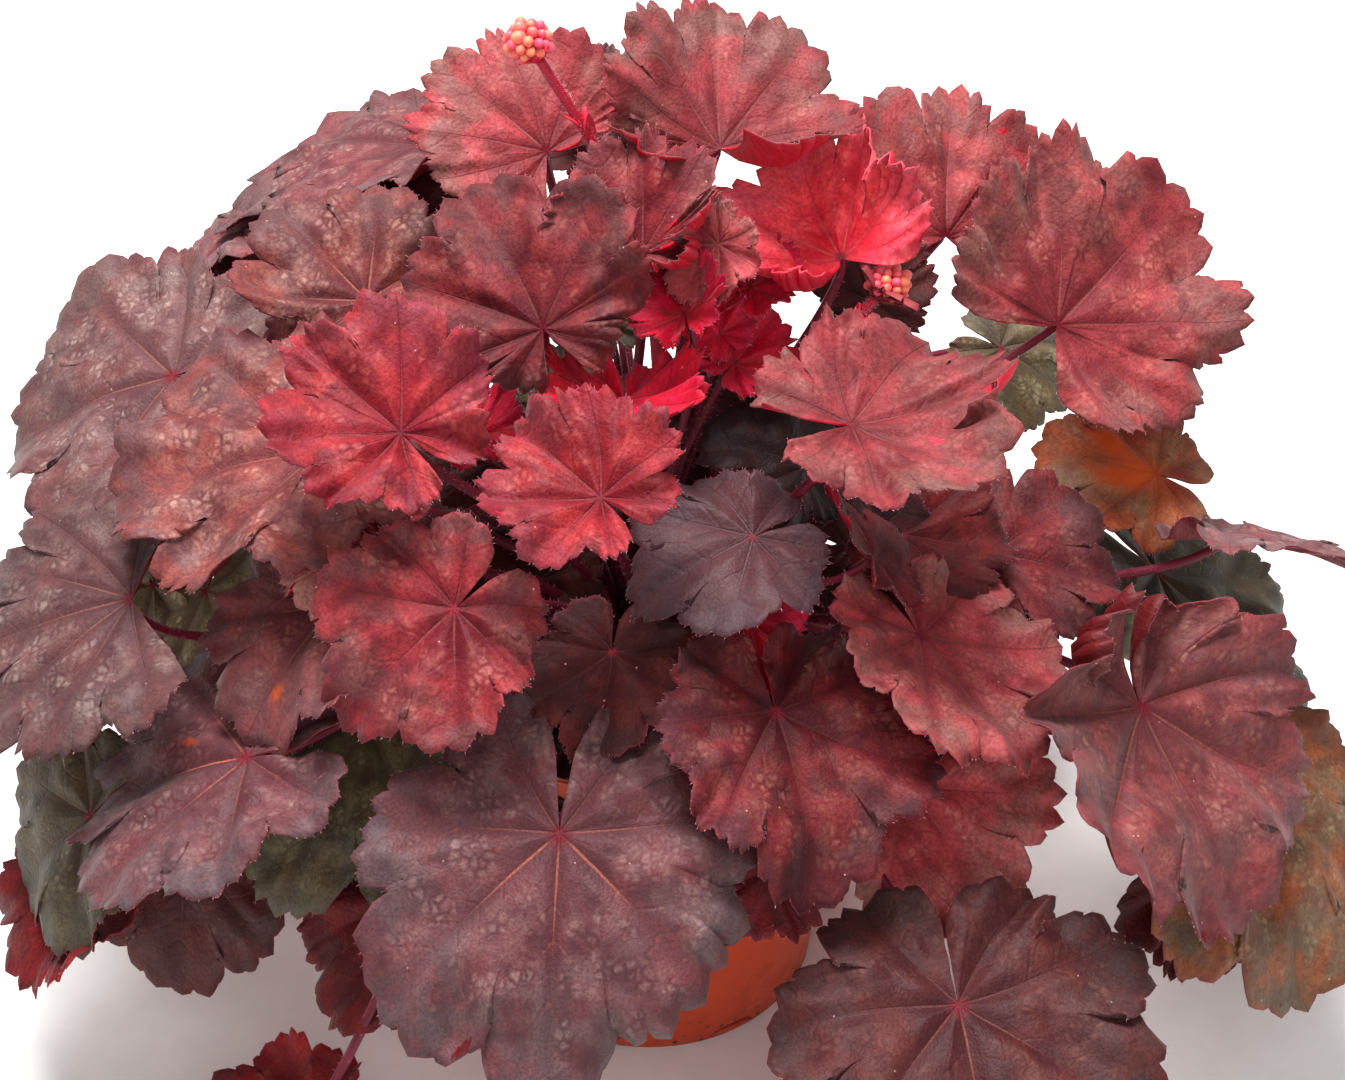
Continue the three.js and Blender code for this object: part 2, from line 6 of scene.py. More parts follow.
import bpy
import numpy as np
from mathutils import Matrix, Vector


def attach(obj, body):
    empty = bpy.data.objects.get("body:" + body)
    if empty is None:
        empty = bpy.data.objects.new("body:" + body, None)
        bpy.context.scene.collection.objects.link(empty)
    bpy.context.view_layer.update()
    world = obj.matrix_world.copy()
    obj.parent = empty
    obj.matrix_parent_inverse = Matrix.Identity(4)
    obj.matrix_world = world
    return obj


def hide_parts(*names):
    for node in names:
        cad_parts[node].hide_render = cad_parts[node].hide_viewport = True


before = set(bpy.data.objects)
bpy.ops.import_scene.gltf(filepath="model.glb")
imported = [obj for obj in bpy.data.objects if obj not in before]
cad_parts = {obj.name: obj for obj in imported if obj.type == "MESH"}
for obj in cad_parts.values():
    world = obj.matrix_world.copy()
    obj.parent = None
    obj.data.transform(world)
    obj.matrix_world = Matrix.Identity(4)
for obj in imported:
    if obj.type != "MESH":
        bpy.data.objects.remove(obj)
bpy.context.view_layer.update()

MM = 0.001
rng = np.random.default_rng(41)

# ---- the plant's measures, the same as in the part's source --------------------------------

POT_HEIGHT = 120
POT_RIM = 65
POT_FOOT = 50
POT_WALL = 1.8
POT_SHOULDER = 107
POT_SHOULDER_RADIUS = 61.8
DRAIN_SLOTS = 6
DRAIN_HALF_WIDTH = 8
DRAIN_HEIGHT = 4.5

SOIL_TOP = 108
SOIL_BOTTOM = 6.9
CROWN_SPREAD = np.array([21.0, 21.0, 15.0])
CROWN_CENTRE = np.array([0.0, 0.0, 108.0])
CLEARANCE = 0.3

BLADE_LENGTHENING = 0.3
LOBE_PITCH = 47.5
LOBE_CENTRES = np.array([0, 48, 95, 144.0])
LOBE_BORDERS = np.array([24, 72, 118, 175.0])
SMALL_BLADE = 37

STALK_RADIUS = 1.5
SPROUT_STALK_RADIUS = 1.1
SPROUT_SIZE = 22
STALK_BASE_RISE = 32
STALK_RISE_GAIN = 0.62
STALK_RISE_RANGE = (14, 86)
STALK_LIFT = 14
STALK_LIFT_RANGE = (48, 88)
STALK_FIRST_PULL = 0.4

# How a blade is bent, as shares of its size: cup, fold, droop, pleat and wave.
HABITS = {
    "young": (0.10, 0.16, 0.06, 0.07, 0.06),
    "mature": (0.02, 0.10, 0.12, 0.05, 0.05),
    "old": (-0.06, 0.05, 0.16, 0.04, 0.04),
    "olive": (-0.08, 0.02, 0.18, 0.04, 0.04),
}

# The finer habit, as shares of the size: depth of the teeth, pleats, ruffles and frill, how far
# neighbouring lobes lap over each other, how far the lobes bend up or down, and random creases.
FINE_HABITS = {
    "young": dict(teeth=0.07, pleats=0.03, ruffle=0.03, frill=0.035, lap=0.08, bend=0.35, crease=0.15),
    "mature": dict(teeth=0.055, pleats=0.03, ruffle=0.028, frill=0.024, lap=0.11, bend=0.3, crease=0.13),
    "old": dict(teeth=0.045, pleats=0.024, ruffle=0.02, frill=0.014, lap=0.15, bend=0.18, crease=0.07),
    "olive": dict(teeth=0.04, pleats=0.03, ruffle=0.02, frill=0.014, lap=0.12, bend=0.18, crease=0.07),
}

# The smallest red leaves, in the shoots.
SHOOT = dict(starts=140, rise=84, frill=0.055, teeth=0.09, ruffle=0.05)

# name, age, joint, (azimuth, tilt) of the face, azimuth of the middle lobe, size, skin, and what
# this leaf has of its own: opens, the notch at the joint in degrees; starts and rise, where the
# stalk leaves the crown; turn, the blade's turn in its own plane; arch and dip, which lift and
# lower the stalk; rolls of the margin, as angle, half-width, degrees and width in mm; creases from
# the joint, as angle, depth and spread; tone, how much lighter it is than its skin, which is partly
# its own colour and partly painted light where above nought and painted shade where below; under,
# its lower skin; and its own habit, teeth, frill or ruffle. Leaves that lie in shade, such as
# leaf_left_7 and leaf_front_right_2, also have the lighter rose skin as painted light.
LEAVES = [
    ("leaf_top_1", "mature", (20, 46, 254), (-70, 44), 98, 34, "rose",
     dict(opens=55, starts=74, rise=56, rolls=[(-120, 60, 130, 22), (112, 26, 105, 12)],
          creases=[(0, -0.34, 0.5)], tone=-0.25)),
    ("leaf_top_2", "mature", (-28, 69, 240), (-75, 44), 135, 31, "rose",
     dict(opens=55, rolls=[(-112, 34, 120, 13)], tone=-0.05)),
    ("leaf_top_3", "mature", (-1, 15, 240), (-100, 52), 84, 25, "wine",
     dict(opens=60, starts=104, rise=42, rolls=[(-95, 62, 130, 16), (60, 20, 80, 7)], tone=0.27)),
    ("leaf_top_4", "young", (53, 32, 228), (-110, 30), 55, 29, "coral",
     dict(opens=45, starts=30, rise=80, rolls=[(112, 40, 120, 13), (-62, 34, 120, 12)],
          creases=[(0, -0.2, 0.3), (70, 0.16, 0.3)], turn=60, tone=0.25)),
    ("leaf_top_5", "mature", (-27, -3, 228), (-95, 50), 103, 33, "wine",
     dict(opens=20, starts=165, rise=32, tone=-0.15, under="shade",
          rolls=[(-130, 36, -140, 13), (132, 40, -140, 14)])),
    ("leaf_back_left_1", "mature", (-80, 53, 201), (-75, 30), 132, 31, "brick_rose", dict(tone=-0.1)),
    ("leaf_back_left_2", "old", (-76, 91, 195), (-140, 17), 115, 37, "dusty_rose",
     dict(starts=117, rise=50)),
    ("leaf_back_left_3", "old", (-71, 140, 202), (115, 14), -170, 50, "dusty_rose",
     dict(starts=108, rise=20, tone=-0.1)),
    ("leaf_back_left_4", "old", (-126, 123, 182), (165, 30), -175, 29, "dusty_rose", {}),
    ("leaf_left_1", "old", (-140, 60, 170), (-130, 26), -178, 46, "ash_mauve", dict(under="shade")),
    ("leaf_left_2", "mature", (-89, -2, 188), (-120, 14), -178, 44, "brick_rose",
     dict(creases=[(-20, 0.12, 0.35), (30, -0.1, 0.3)], under="shade")),
    ("leaf_left_3", "young", (-63, -30, 214), (-80, 32), 134, 29, "crimson",
     dict(creases=[(15, -0.24, 0.4), (-75, 0.14, 0.3)], tone=-0.05)),
    ("leaf_left_4", "old", (-141, -24, 154), (-130, 20), -130, 45, "ash_mauve",
     dict(opens=65, starts=-178, rise=43, turn=-45, dip=36, tone=-0.25)),
    ("leaf_left_5", "olive", (-130, 19, 122), (-145, 34), -125, 29, "moss",
     dict(starts=172, rise=16, tone=0.6)),
    ("leaf_left_6", "mature", (-83, -35, 162), (-150, 26), -138, 32, "plum", dict(starts=-152, rise=50)),
    ("leaf_left_7", "mature", (-72, -26, 177), (-150, 20), 180, 22, "rose", dict(tone=1.0)),
    ("leaf_heart_1", "young", (-11, -55, 212), (-100, 26), 75, 25, "crimson",
     dict(turn=60, creases=[(20, -0.2, 0.4), (-80, 0.12, 0.3)])),
    ("leaf_heart_2", "old", (28, -40, 188), (-90, 14), -113, 26, "slate",
     dict(starts=-80, rise=68, turn=-37, tone=-0.28)),
    ("leaf_heart_3", "mature", (-9, -51, 158), (-110, 22), -96, 23, "dark_wine_and_shade", dict(tone=0.6)),
    ("leaf_heart_4", "old", (43, -3, 183), (-40, 40), 165, 21, "dark_wine_and_shade",
     dict(starts=12, rise=68, tone=-0.68)),
    ("leaf_heart_5", "mature", (61, -34, 176), (5, 52), 120, 20, "wine", dict(tone=-0.2)),
    ("sprout_1", "young", (-47, 8, 186), (-90, 32), 100, 14, "scarlet", SHOOT),
    ("sprout_1", "young", (10, 6, 227), (-135, 30), 100, 14, "scarlet", SHOOT),
    ("sprout_1", "young", (24, 14, 206), (-60, 30), 60, 15, "scarlet", SHOOT),
    ("sprout_2", "young", (-6, -2, 205), (90, 8), -90, 21, "scarlet",
     dict(starts=-60, rise=80, habit=(0.28, 0.1, 0, 0.1, 0.1), frill=0.09, teeth=0.1)),
    ("sprout_2", "young", (28, -35, 154), (-90, 30), -80, 15, "scarlet",
     dict(starts=-60, rise=80, frill=0.05, teeth=0.09)),
    ("leaf_front_1", "old", (-22, -97, 136), (-98, 32), -94, 52, "mauve",
     dict(tone=-0.12, rolls=[(42, 40, -130, 18)], under="shade")),
    ("leaf_front_2", "mature", (34, -69, 153), (-47, 26), -64, 37, "claret", dict(starts=-78, rise=30)),
    ("leaf_front_3", "mature", (-49, -60, 180), (-98, 34), -98, 30, "wine",
     dict(turn=-42, creases=[(0, -0.12, 0.3)], tone=0.32)),
    ("leaf_front_4", "young", (34, -91, 122), (85, 86), 85, 20, "dark_wine_and_shade",
     dict(starts=-66, rise=30, arch=20, under="shade")),
    ("leaf_front_left_1", "old", (-106, -66, 134), (-160, 20), -141, 45, "mauve",
     dict(turn=-50, tone=-0.07)),
    ("leaf_front_left_2", "olive", (-78, -36, 122), (-130, 26), -120, 43, "moss",
     dict(starts=-112, rise=16, tone=-0.2)),
    ("leaf_front_left_3", "olive", (-132, -42, 76), (-110, 48), -105, 31, "umber",
     dict(starts=-132, rise=35, tone=-0.2)),
    ("leaf_front_left_4", "olive", (-154, -55, 102), (-140, 48), -160, 31, "olive",
     dict(starts=-160, rise=41, tone=0.2)),
    ("leaf_front_left_5", "mature", (-157, -52, 74), (-150, 30), -144, 27, "blood_red",
     dict(starts=-178, tone=0.5)),
    ("leaf_front_left_6", "mature", (-92, -112, 42), (-120, 16), -150, 27, "blood_red",
     dict(starts=-128, arch=45, tone=0.8)),
    ("leaf_front_left_7", "mature", (-67, -77, 89), (-130, 44), -130, 28, "blood_red",
     dict(starts=-42, rise=26, arch=30)),
    ("leaf_right_1", "mature", (87, 79, 206), (-65, 48), 100, 36, "garnet",
     dict(opens=55, creases=[(0, -0.18, 0.3), (60, 0.12, 0.25)], tone=0.15)),
    ("leaf_right_2", "mature", (117, 49, 195), (-70, 40), 58, 44, "garnet",
     dict(opens=38, creases=[(25, 0.14, 0.3), (-60, -0.12, 0.3)], tone=0.04)),
    ("leaf_right_3", "young", (53, -29, 216), (-100, 14), 15, 34, "rose",
     dict(opens=15, starts=-66, rise=60, rolls=[(-20, 22, 100, 9)], habit=(0.03, 0.04, 0.08, 0.05, 0.03),
          creases=[(30, -0.3, 0.45)], tone=-0.25)),
    ("leaf_right_4", "mature", (71, -6, 162), (-69, 20), -1, 24, "blood_red", dict(tone=-0.2)),
    ("leaf_right_5", "mature", (98, 3, 148), (-70, 16), -5, 28, "wine",
     dict(starts=-4, rise=45, tone=-0.32)),
    ("leaf_right_6", "olive", (149, 40, 149), (-50, 27), 170, 26, "rust", dict(starts=8, rise=33)),
    ("leaf_right_7", "old", (168, 22, 141), (85, 33), -8, 33, "dusty_rose", dict(starts=-4, rise=20)),
    ("leaf_right_8", "olive", (151, 30, 120), (-13, 32), -20, 47, "olive",
     dict(starts=24, tone=-0.2, habit=(-0.02, 0.02, 0.04, 0.04, 0.04))),
    ("leaf_right_9", "olive", (112, 122, 138), (-70, 35), -30, 22, "moss", dict(starts=66, rise=30)),
    ("leaf_front_right_1", "mature", (73, -44, 158), (-15, 21), -40, 34, "rose", dict(tone=0.12)),
    ("leaf_front_right_2", "mature", (72, -53, 112), (-65, 42), -52, 34, "rose",
     dict(starts=-43, rise=52, arch=16, tone=0.45)),
    ("leaf_front_right_3", "mature", (134, -48, 136), (-30, 42), -50, 50, "plum",
     dict(creases=[(0, 0.12, 0.25), (48, -0.12, 0.2), (-50, -0.1, 0.2)],
          rolls=[(150, 45, 125, 15), (-140, 45, 125, 15)], under="shade")),
    ("leaf_front_right_4", "olive", (167, -36, 100), (-35, 34), -58, 48, "bronze", {}),
    ("leaf_front_right_5", "mature", (155, -50, 76), (-50, 50), -80, 24, "blood_red",
     dict(starts=-28, tone=-0.5)),
    ("leaf_front_right_6", "old", (81, -119, 96), (-90, 18), -92, 51, "umber",
     dict(turn=12, opens=2, dip=26, tone=-0.15)),
    ("leaf_back_1", "mature", (-8, 96, 168), (90, 32), 95, 40, "dusty_rose", dict(starts=92, rise=62)),
    ("leaf_back_1", "olive", (-12, 96, 226), (-90, 30), 95, 19, "plum", dict(starts=92, rise=62)),
    ("leaf_back_2", "old", (-56, 112, 118), (115, 45), 118, 44, "mauve", dict(starts=122, rise=40)),
    ("leaf_back_2", "olive", (-50, 34, 140), (-60, 20), -150, 30, "dark_wine_and_shade", dict(starts=122, rise=40)),
    ("leaf_back_3", "old", (34, 118, 110), (75, 45), 72, 44, "plum", dict(starts=68, rise=40)),
    ("leaf_back_3", "olive", (44, 50, 142), (-80, 20), 100, 30, "dark_wine_and_shade", dict(starts=68, rise=40)),
    ("leaf_back_4", "olive", (92, 96, 84), (45, 45), 48, 42, "olive", dict(starts=46, rise=36)),
    # Small leaves, and dark ones that fill the shaded heart of the plant, beside those of the source.
    # The dark ones stand where the heart shows dark leaves and shadow, so their dark skin and low tone
    # are partly their own colour and partly painted shade.
    ("sprout_1", "young", (28, 27, 222), (-100, 34), 70, 13, "scarlet",
     dict(starts=70, rise=80, teeth=0.09)),
    ("sprout_1", "young", (20, 18, 213), (-80, 40), 120, 11, "scarlet",
     dict(starts=80, rise=80, teeth=0.09)),
    ("sprout_1", "young", (15, 28, 232), (-80, 52), 110, 13, "rose", dict(starts=100, rise=82, teeth=0.08)),
    ("sprout_1", "young", (9, 42, 206), (-95, 60), 100, 15, "scarlet", dict(starts=95, rise=76)),
    ("sprout_1", "mature", (-12, 48, 196), (-95, 60), 100, 14, "olive", dict(starts=105, rise=70)),
    ("sprout_1", "mature", (-25, 30, 178), (-100, 45), 120, 16, "olive", dict(starts=120, rise=66)),
    ("leaf_heart_4", "old", (0, 14, 166), (-90, 40), 100, 25, "dark_wine_and_shade", dict(starts=40, rise=70)),
    ("leaf_heart_4", "old", (26, 22, 172), (-85, 45), 70, 25, "dark_wine_and_shade", dict(starts=30, rise=62)),
    ("leaf_heart_3", "old", (-44, 14, 172), (-100, 40), 130, 18, "dark_wine_and_shade", dict(starts=150, rise=60)),
    ("leaf_heart_3", "old", (-30, -6, 146), (-100, 35), -120, 22, "dark_wine_and_shade", dict(starts=-140, rise=50)),
    ("leaf_heart_4", "old", (60, 20, 178), (-80, 50), 60, 22, "dark_wine_and_shade", dict(starts=20, rise=60)),
    ("leaf_heart_4", "old", (62, 42, 208), (-85, 55), 75, 17, "dark_wine_and_shade",
     dict(starts=35, rise=66, teeth=0.09)),
    ("leaf_front_4", "young", (33, -90, 116), (-70, 66), -84, 15, "crimson",
     dict(starts=-66, rise=34, arch=16, under="shade", tone=-0.4)),
    ("leaf_front_1", "old", (-27, -60, 114), (-95, 50), -90, 17, "dark_wine_and_shade", dict(starts=-100, rise=20)),
    ("sprout_1", "mature", (19, 20, 240), (-100, 34), -128, 14, "rose", dict(starts=90, rise=84, tone=0.1)),
    ("leaf_back_1", "mature", (-14, 100, 236), (-80, 52), 95, 15, "ash_mauve",
     dict(starts=92, rise=70, tone=-0.3)),
    ("leaf_back_left_3", "old", (-77, 151, 186), (-100, 14), -98, 25, "dusty_rose",
     dict(starts=108, rise=30, tone=0.3)),
    ("leaf_heart_3", "old", (56, -10, 160), (-85, 40), -20, 20, "dark_wine_and_shade", dict(starts=-10, rise=50)),
    ("leaf_left_5", "olive", (-147, 26, 118), (-120, 40), 160, 22, "moss",
     dict(starts=168, rise=20, tone=0.5)),
    ("leaf_left_5", "olive", (-142, 46, 138), (-120, 30), -160, 24, "olive",
     dict(starts=160, rise=26, tone=0.4)),
    ("leaf_back_left_4", "old", (-114, 104, 166), (-100, 44), 120, 27, "dusty_rose",
     dict(starts=130, rise=30)),
]

# Stalk and head, azimuth and rise on the crown, the stalk's knots, the head's centre and radius,
# the length of the bracts below it, and their skin.
FLOWER_STALKS = [
    ("flower_stalk_1", "bud_head_1", 80, 70, [(3, 26, 195), (-2, 38, 230), (-13, 42, 255)],
     (-31, 46, 286), 6.0, 6, "young"),
    ("flower_stalk_2", "bud_head_2", 36, 64, [(34, 14, 175), (52, 24, 205)],
     (66, 30, 221), 5.4, 13, "old"),
]

# Healed rust-brown spots: their place on the blade, half-axes and turn.
SCARS = {
    "leaf_left_6": [(7, -1, 1.7, 1.3, 30), (29, 3, 1.8, 1.3, 30)],
    "leaf_front_left_1": [(20, -8, 1.4, 1.0, 0)],
    "leaf_heart_2": [(10, 6, 0.7, 0.6, 0)],
    "leaf_right_6": [(8, 3, 9, 5, 20), (14, -6, 6, 3, -30)],
}

# ---- camera and light ----------------------------------------------------------------------

# Places are in metres here. The camera looks down by 38 degrees.
camera_data = bpy.data.cameras.new("camera")
camera_data.lens = 71.7
camera_data.sensor_width = 36
camera_data.sensor_fit = "HORIZONTAL"
camera = bpy.data.objects.new("camera", camera_data)
camera.location = (0.007, -0.5910, 0.6171)
camera.rotation_euler = (math.radians(52), 0, 0)
bpy.context.scene.collection.objects.link(camera)
bpy.context.scene.camera = camera
bpy.context.scene.view_settings.view_transform = "Standard"


def softbox(name, place, aim, size, watts):
    """A square soft light that faces what it aims at."""
    lamp = bpy.data.lights.new(name, "AREA")
    lamp.shape = "SQUARE"
    lamp.size = size
    lamp.energy = watts
    box = bpy.data.objects.new(name, lamp)
    box.location = place
    turn = np.array(aim, float) - np.array(place, float)
    box.rotation_euler = Vector(turn).to_track_quat("-Z", "Y").to_euler()
    bpy.context.scene.collection.objects.link(box)


softbox("softbox_overhead", (-0.12, 0.2, 1.38), (0, 0, 0.15), 0.6, 37)
softbox("softbox_front", (0.2, -1.2, 1.1), (0, 0, 0.15), 1.0, 7)

world = bpy.data.worlds.new("bright_room")
world.use_nodes = True
world.node_tree.nodes["Background"].inputs["Color"].default_value = (1, 1, 1, 1)
world.node_tree.nodes["Background"].inputs["Strength"].default_value = 0.5
bpy.context.scene.world = world

# ---- colours and materials -----------------------------------------------------------------


def colour(code):
    """A colour typed as sRGB hex, turned to the linear values that Blender mixes."""
    shares = [int(code[i:i + 2], 16) / 255 for i in (1, 3, 5)]
    return [s / 12.92 if s <= 0.04045 else ((s + 0.055) / 1.055) ** 2.4 for s in shares] + [1]


def add(tree, kind, wires=None, out=None, **settings):
    """Adds a node. Settings are its own options; wires give each socket a value or a link. Hands
    back the socket called out, or else the node."""
    made = tree.nodes.new("ShaderNode" + kind)
    for key, value in settings.items():
        setattr(made, key, value)
    for socket, value in (wires or {}).items():
        if isinstance(value, bpy.types.NodeSocket):
            tree.links.new(value, made.inputs[socket])
        else:
            made.inputs[socket].default_value = value
    return made if out is None else made.outputs[out]


MIX_FACTOR, MIX_A, MIX_B, MIX_OUT = 0, 6, 7, 2
BLEND = {"data_type": "RGBA"}
SMOOTH = {"interpolation_type": "SMOOTHSTEP"}
TIMES = {"operation": "MULTIPLY"}
TIMES_PLUS = {"operation": "MULTIPLY_ADD"}
FLAT_CELLS = {"voronoi_dimensions": "2D"}
FLAT_EDGES = {"voronoi_dimensions": "2D", "feature": "DISTANCE_TO_EDGE"}


def finish(name, **sockets):
    """A new material: its tree and its shader, with the values that are the same all over."""
    made = bpy.data.materials.new(name)
    made.use_nodes = True
    tree = made.node_tree
    shader = tree.nodes["Principled BSDF"]
    for socket, value in sockets.items():
        shader.inputs[socket.replace("_", " ")].default_value = value
    return made, tree, shader


def wear(tree, shader, **links):
    """Links what varies over the surface to the shader's sockets."""
    for socket, link in links.items():
        tree.links.new(link, shader.inputs[socket.replace("_", " ")])


def leaf_skin(name, codes, mottling, veining, gloss, shine):
    """Upper skin of a heuchera leaf: a waxy cuticle with fine hairs over quilted green-red tissue.
    It looks like velvet: a soft sheen, grey bloom to the edge, paler cells and coloured veins."""
    made, tree, shader = finish(name, IOR=1.45, Specular_IOR_Level=shine, Sheen_Weight=0.06,
                                Sheen_Roughness=0.4)
    plan = add(tree, "Attribute", out="Vector", attribute_name="plan")
    marks = add(tree, "SeparateXYZ", {0: add(tree, "Attribute", out="Vector", attribute_name="marks")})
    beside, along, inward = marks.outputs
    reach, scar, rank, tone = (add(tree, "Attribute", out="Fac", attribute_name=key)
                               for key in ("reach", "scar", "rank", "tone"))

    # Noise by its size in mm: drifting tone, bloom, patches of a warmer colour that is partly the
    # tissue's own and partly painted light shining through the blade, islands of mottles, the drift
    # of the side veins, puckered tissue, and the grain of pores and hair feet.
    noise = {}
    for key, size, detail in (("cloud", 20, 4), ("veil", 26, 2), ("patch", 12, 2), ("island", 10, 2),
                              ("drift", 16, 1), ("pucker", 6.5, 1), ("grain", 0.9, 2)):
        wires = {"Vector": plan, "Scale": 1 / size, "Detail": detail, "Roughness": 0.6}
        noise[key] = add(tree, "TexNoise", wires, 0)

    # Mottles: cells of 2.7 mm, a little bent, each of its own strength, with a soft net between.
    wander = add(tree, "TexNoise", {"Vector": plan, "Scale": 1 / 4, "Detail": 1}, "Color")
    bent = add(tree, "VectorMath", {0: wander, 1: (1.8, 1.8, 0), 2: plan}, 0, **TIMES_PLUS)
    cells = add(tree, "TexVoronoi", {"Vector": bent, "Scale": 1 / 2.7}, "Color", **FLAT_CELLS)
    gaps = add(tree, "TexVoronoi", {"Vector": bent, "Scale": 1 / 2.7}, "Distance", **FLAT_EDGES)
    own = add(tree, "SeparateColor", {0: cells}, 0)

    # Side veins: every 8 mm along a main vein, slanting outwards, and drifting.
    slant = add(tree, "Math", {0: beside, 1: -0.85, 2: along}, 0, **TIMES_PLUS)
    turn = add(tree, "Math", {0: noise["drift"], 1: 10.0, 2: slant}, 0, **TIMES_PLUS)
    turn = add(tree, "Math", {0: turn, 1: 1 / 8}, 0, **TIMES)
    part = add(tree, "Math", {0: turn, 1: 0.5}, 0, operation="PINGPONG")

    # Main veins: 1 mm wide at the joint, thinning outwards.
    width = add(tree, "MapRange", {0: reach, 1: 0.0, 2: 0.8, 3: 0.52, 4: 0.2})
    offset = add(tree, "Math", {0: beside, 1: width.outputs[0]}, 0, operation="DIVIDE")

    # Specks of dust, 0.5 mm wide. Cells of 9 mm hold one each, and few of them show theirs.
    dust = add(tree, "TexVoronoi", {"Vector": plan, "Scale": 1 / 9}, **FLAT_CELLS)
    chosen = add(tree, "SeparateColor", {0: dust.outputs["Color"]}, 0)

    # Masks: what each is read from, from and to where it rises, and its least and most.
    mask = {"scar": scar, "rank": rank, "mottling": mottling, "veining": veining}
    for key, value, *span in (
            ("cloudy", noise["cloud"], 0.4, 0.6), ("veiled", noise["veil"], 0.34, 0.6, 0.1, 1.0),
            ("outer", reach, 0.3, 0.95), ("patchy", noise["patch"], 0.42, 0.66),
            ("isle", noise["island"], 0.42, 0.6, 0.04, 1.0), ("aside", beside, 1.0, 4.5),
            ("past_joint", reach, 0.1, 0.36), ("short_of_edge", reach, 1.0, 0.74),
            ("cell", gaps, 0.0, 0.42), ("own", own, 0.05, 0.95, 0.15, 1.0),
            ("near_vein", beside, 2.2, 0.1), ("far_on", reach, 1.0, 0.25, 0.25, 1.0),
            ("side_line", part, 0.13, 0.0), ("by_vein", beside, 13.0, 2.0), ("rib", offset, 1.2, 0.5),
            ("fading", reach, 0.85, 0.15), ("knot", reach, 0.085, 0.02), ("rim", inward, 0.8, 0.1, 0.0, 0.22),
            ("speck_spot", dust.outputs["Distance"], 0.035, 0.015), ("speck_few", chosen, 0.94, 0.95),
            ("grainy", noise["grain"], 0.38, 0.66), ("puffed", noise["pucker"], 0.42, 0.66),
            ("sunk", noise["pucker"], 0.5, 0.3)):
        mask[key] = add(tree, "MapRange", dict(enumerate([value] + span)), 0, **SMOOTH)
    # Masks that are the product of others, or of others and a strength.
    for key, *shares in (
            ("bloomed", "outer", "veiled"), ("between", "aside", "past_joint", "short_of_edge"),
            ("warm_patch_and_lit_through", "past_joint", "patchy", 0.65), ("dot", "cell", "own", "isle", "between", "mottling"),
            ("valley_shade", "near_vein", "far_on", 0.34), ("side", "side_line", "by_vein", "past_joint"),
            ("side_vein_shade", "side", 0.2), ("side_lit", "side", "cell", "veining", 0.25),
            ("rib_dark_and_shade", "rib", 0.4), ("lit", "rib", "rank", "fading", "veining"),
            ("speck", "speck_spot", "speck_few", 0.5),
            ("fine", "grainy", 0.42), ("puffs_paler_and_lit", "puffed", "between", "mottling", 0.5),
            ("hollow_shade", "sunk", "aside", 0.38)):
        share = mask[shares[0]]
        for other in shares[1:]:
            share = add(tree, "Math", {0: share, 1: mask.get(other, other)}, 0, **TIMES)
        mask[key] = share

    # The layers of colour, from the tissue up. Pores and grain are darker of their own. The sunk hollow
    # of the puckered tissue, the gutters beside the main veins and the sunk side veins are darkened as
    # painted shade, and the main veins' darker line is partly their own colour and partly painted shade.
    # The third colour is laid in patches past the joint: partly the tissue's warmer colour, partly painted
    # light shining through the blade.
    face, flush, warmer_and_lit_through, bloom, mottle, vein = (colour(code) for code in codes.split())
    # This dark mix gives the pores their colour and is the painted shade of the sunk parts.
    deep_tone_and_shade = [0.5 * f + 0.5 * d for f, d in zip(face, colour("#200408"))]
    # This paler mix lightens the puffed tissue between the veins: partly paler tissue, partly painted
    # highlight on the raised parts.
    paler_and_highlight = [0.5 * f + 0.5 * m for f, m in zip(flush, mottle)]
    skin = face
    for key, over in (
            ("cloudy", flush), ("bloomed", bloom), ("warm_patch_and_lit_through", warmer_and_lit_through), ("hollow_shade", deep_tone_and_shade), ("puffs_paler_and_lit", paler_and_highlight),
            ("dot", mottle), ("valley_shade", deep_tone_and_shade), ("side_vein_shade", deep_tone_and_shade), ("side_lit", vein), ("rib_dark_and_shade", deep_tone_and_shade),
            # The rim colour along the edge is partly the edge's own colour and partly painted highlight on
            # its hairs.
            ("lit", vein), ("fine", deep_tone_and_shade), ("knot", colour("#640a1c")), ("rim", colour("#8c2434")),
            ("scar", colour("#b8480c")), ("speck", colour("#d8b4a8"))):
        skin = add(tree, "Mix", {MIX_FACTOR: mask[key], MIX_A: skin, MIX_B: over}, MIX_OUT, **BLEND)

    # Each leaf's tone scales its colour: partly the leaf's own lighter or darker colour, partly painted light
    # above nought and painted shade below.
    tone_and_light_gain = add(tree, "Math", {0: tone, 1: 1.0}, 0, operation="ADD")
    skin = add(tree, "VectorMath", {0: skin, "Scale": tone_and_light_gain}, 0, operation="SCALE")

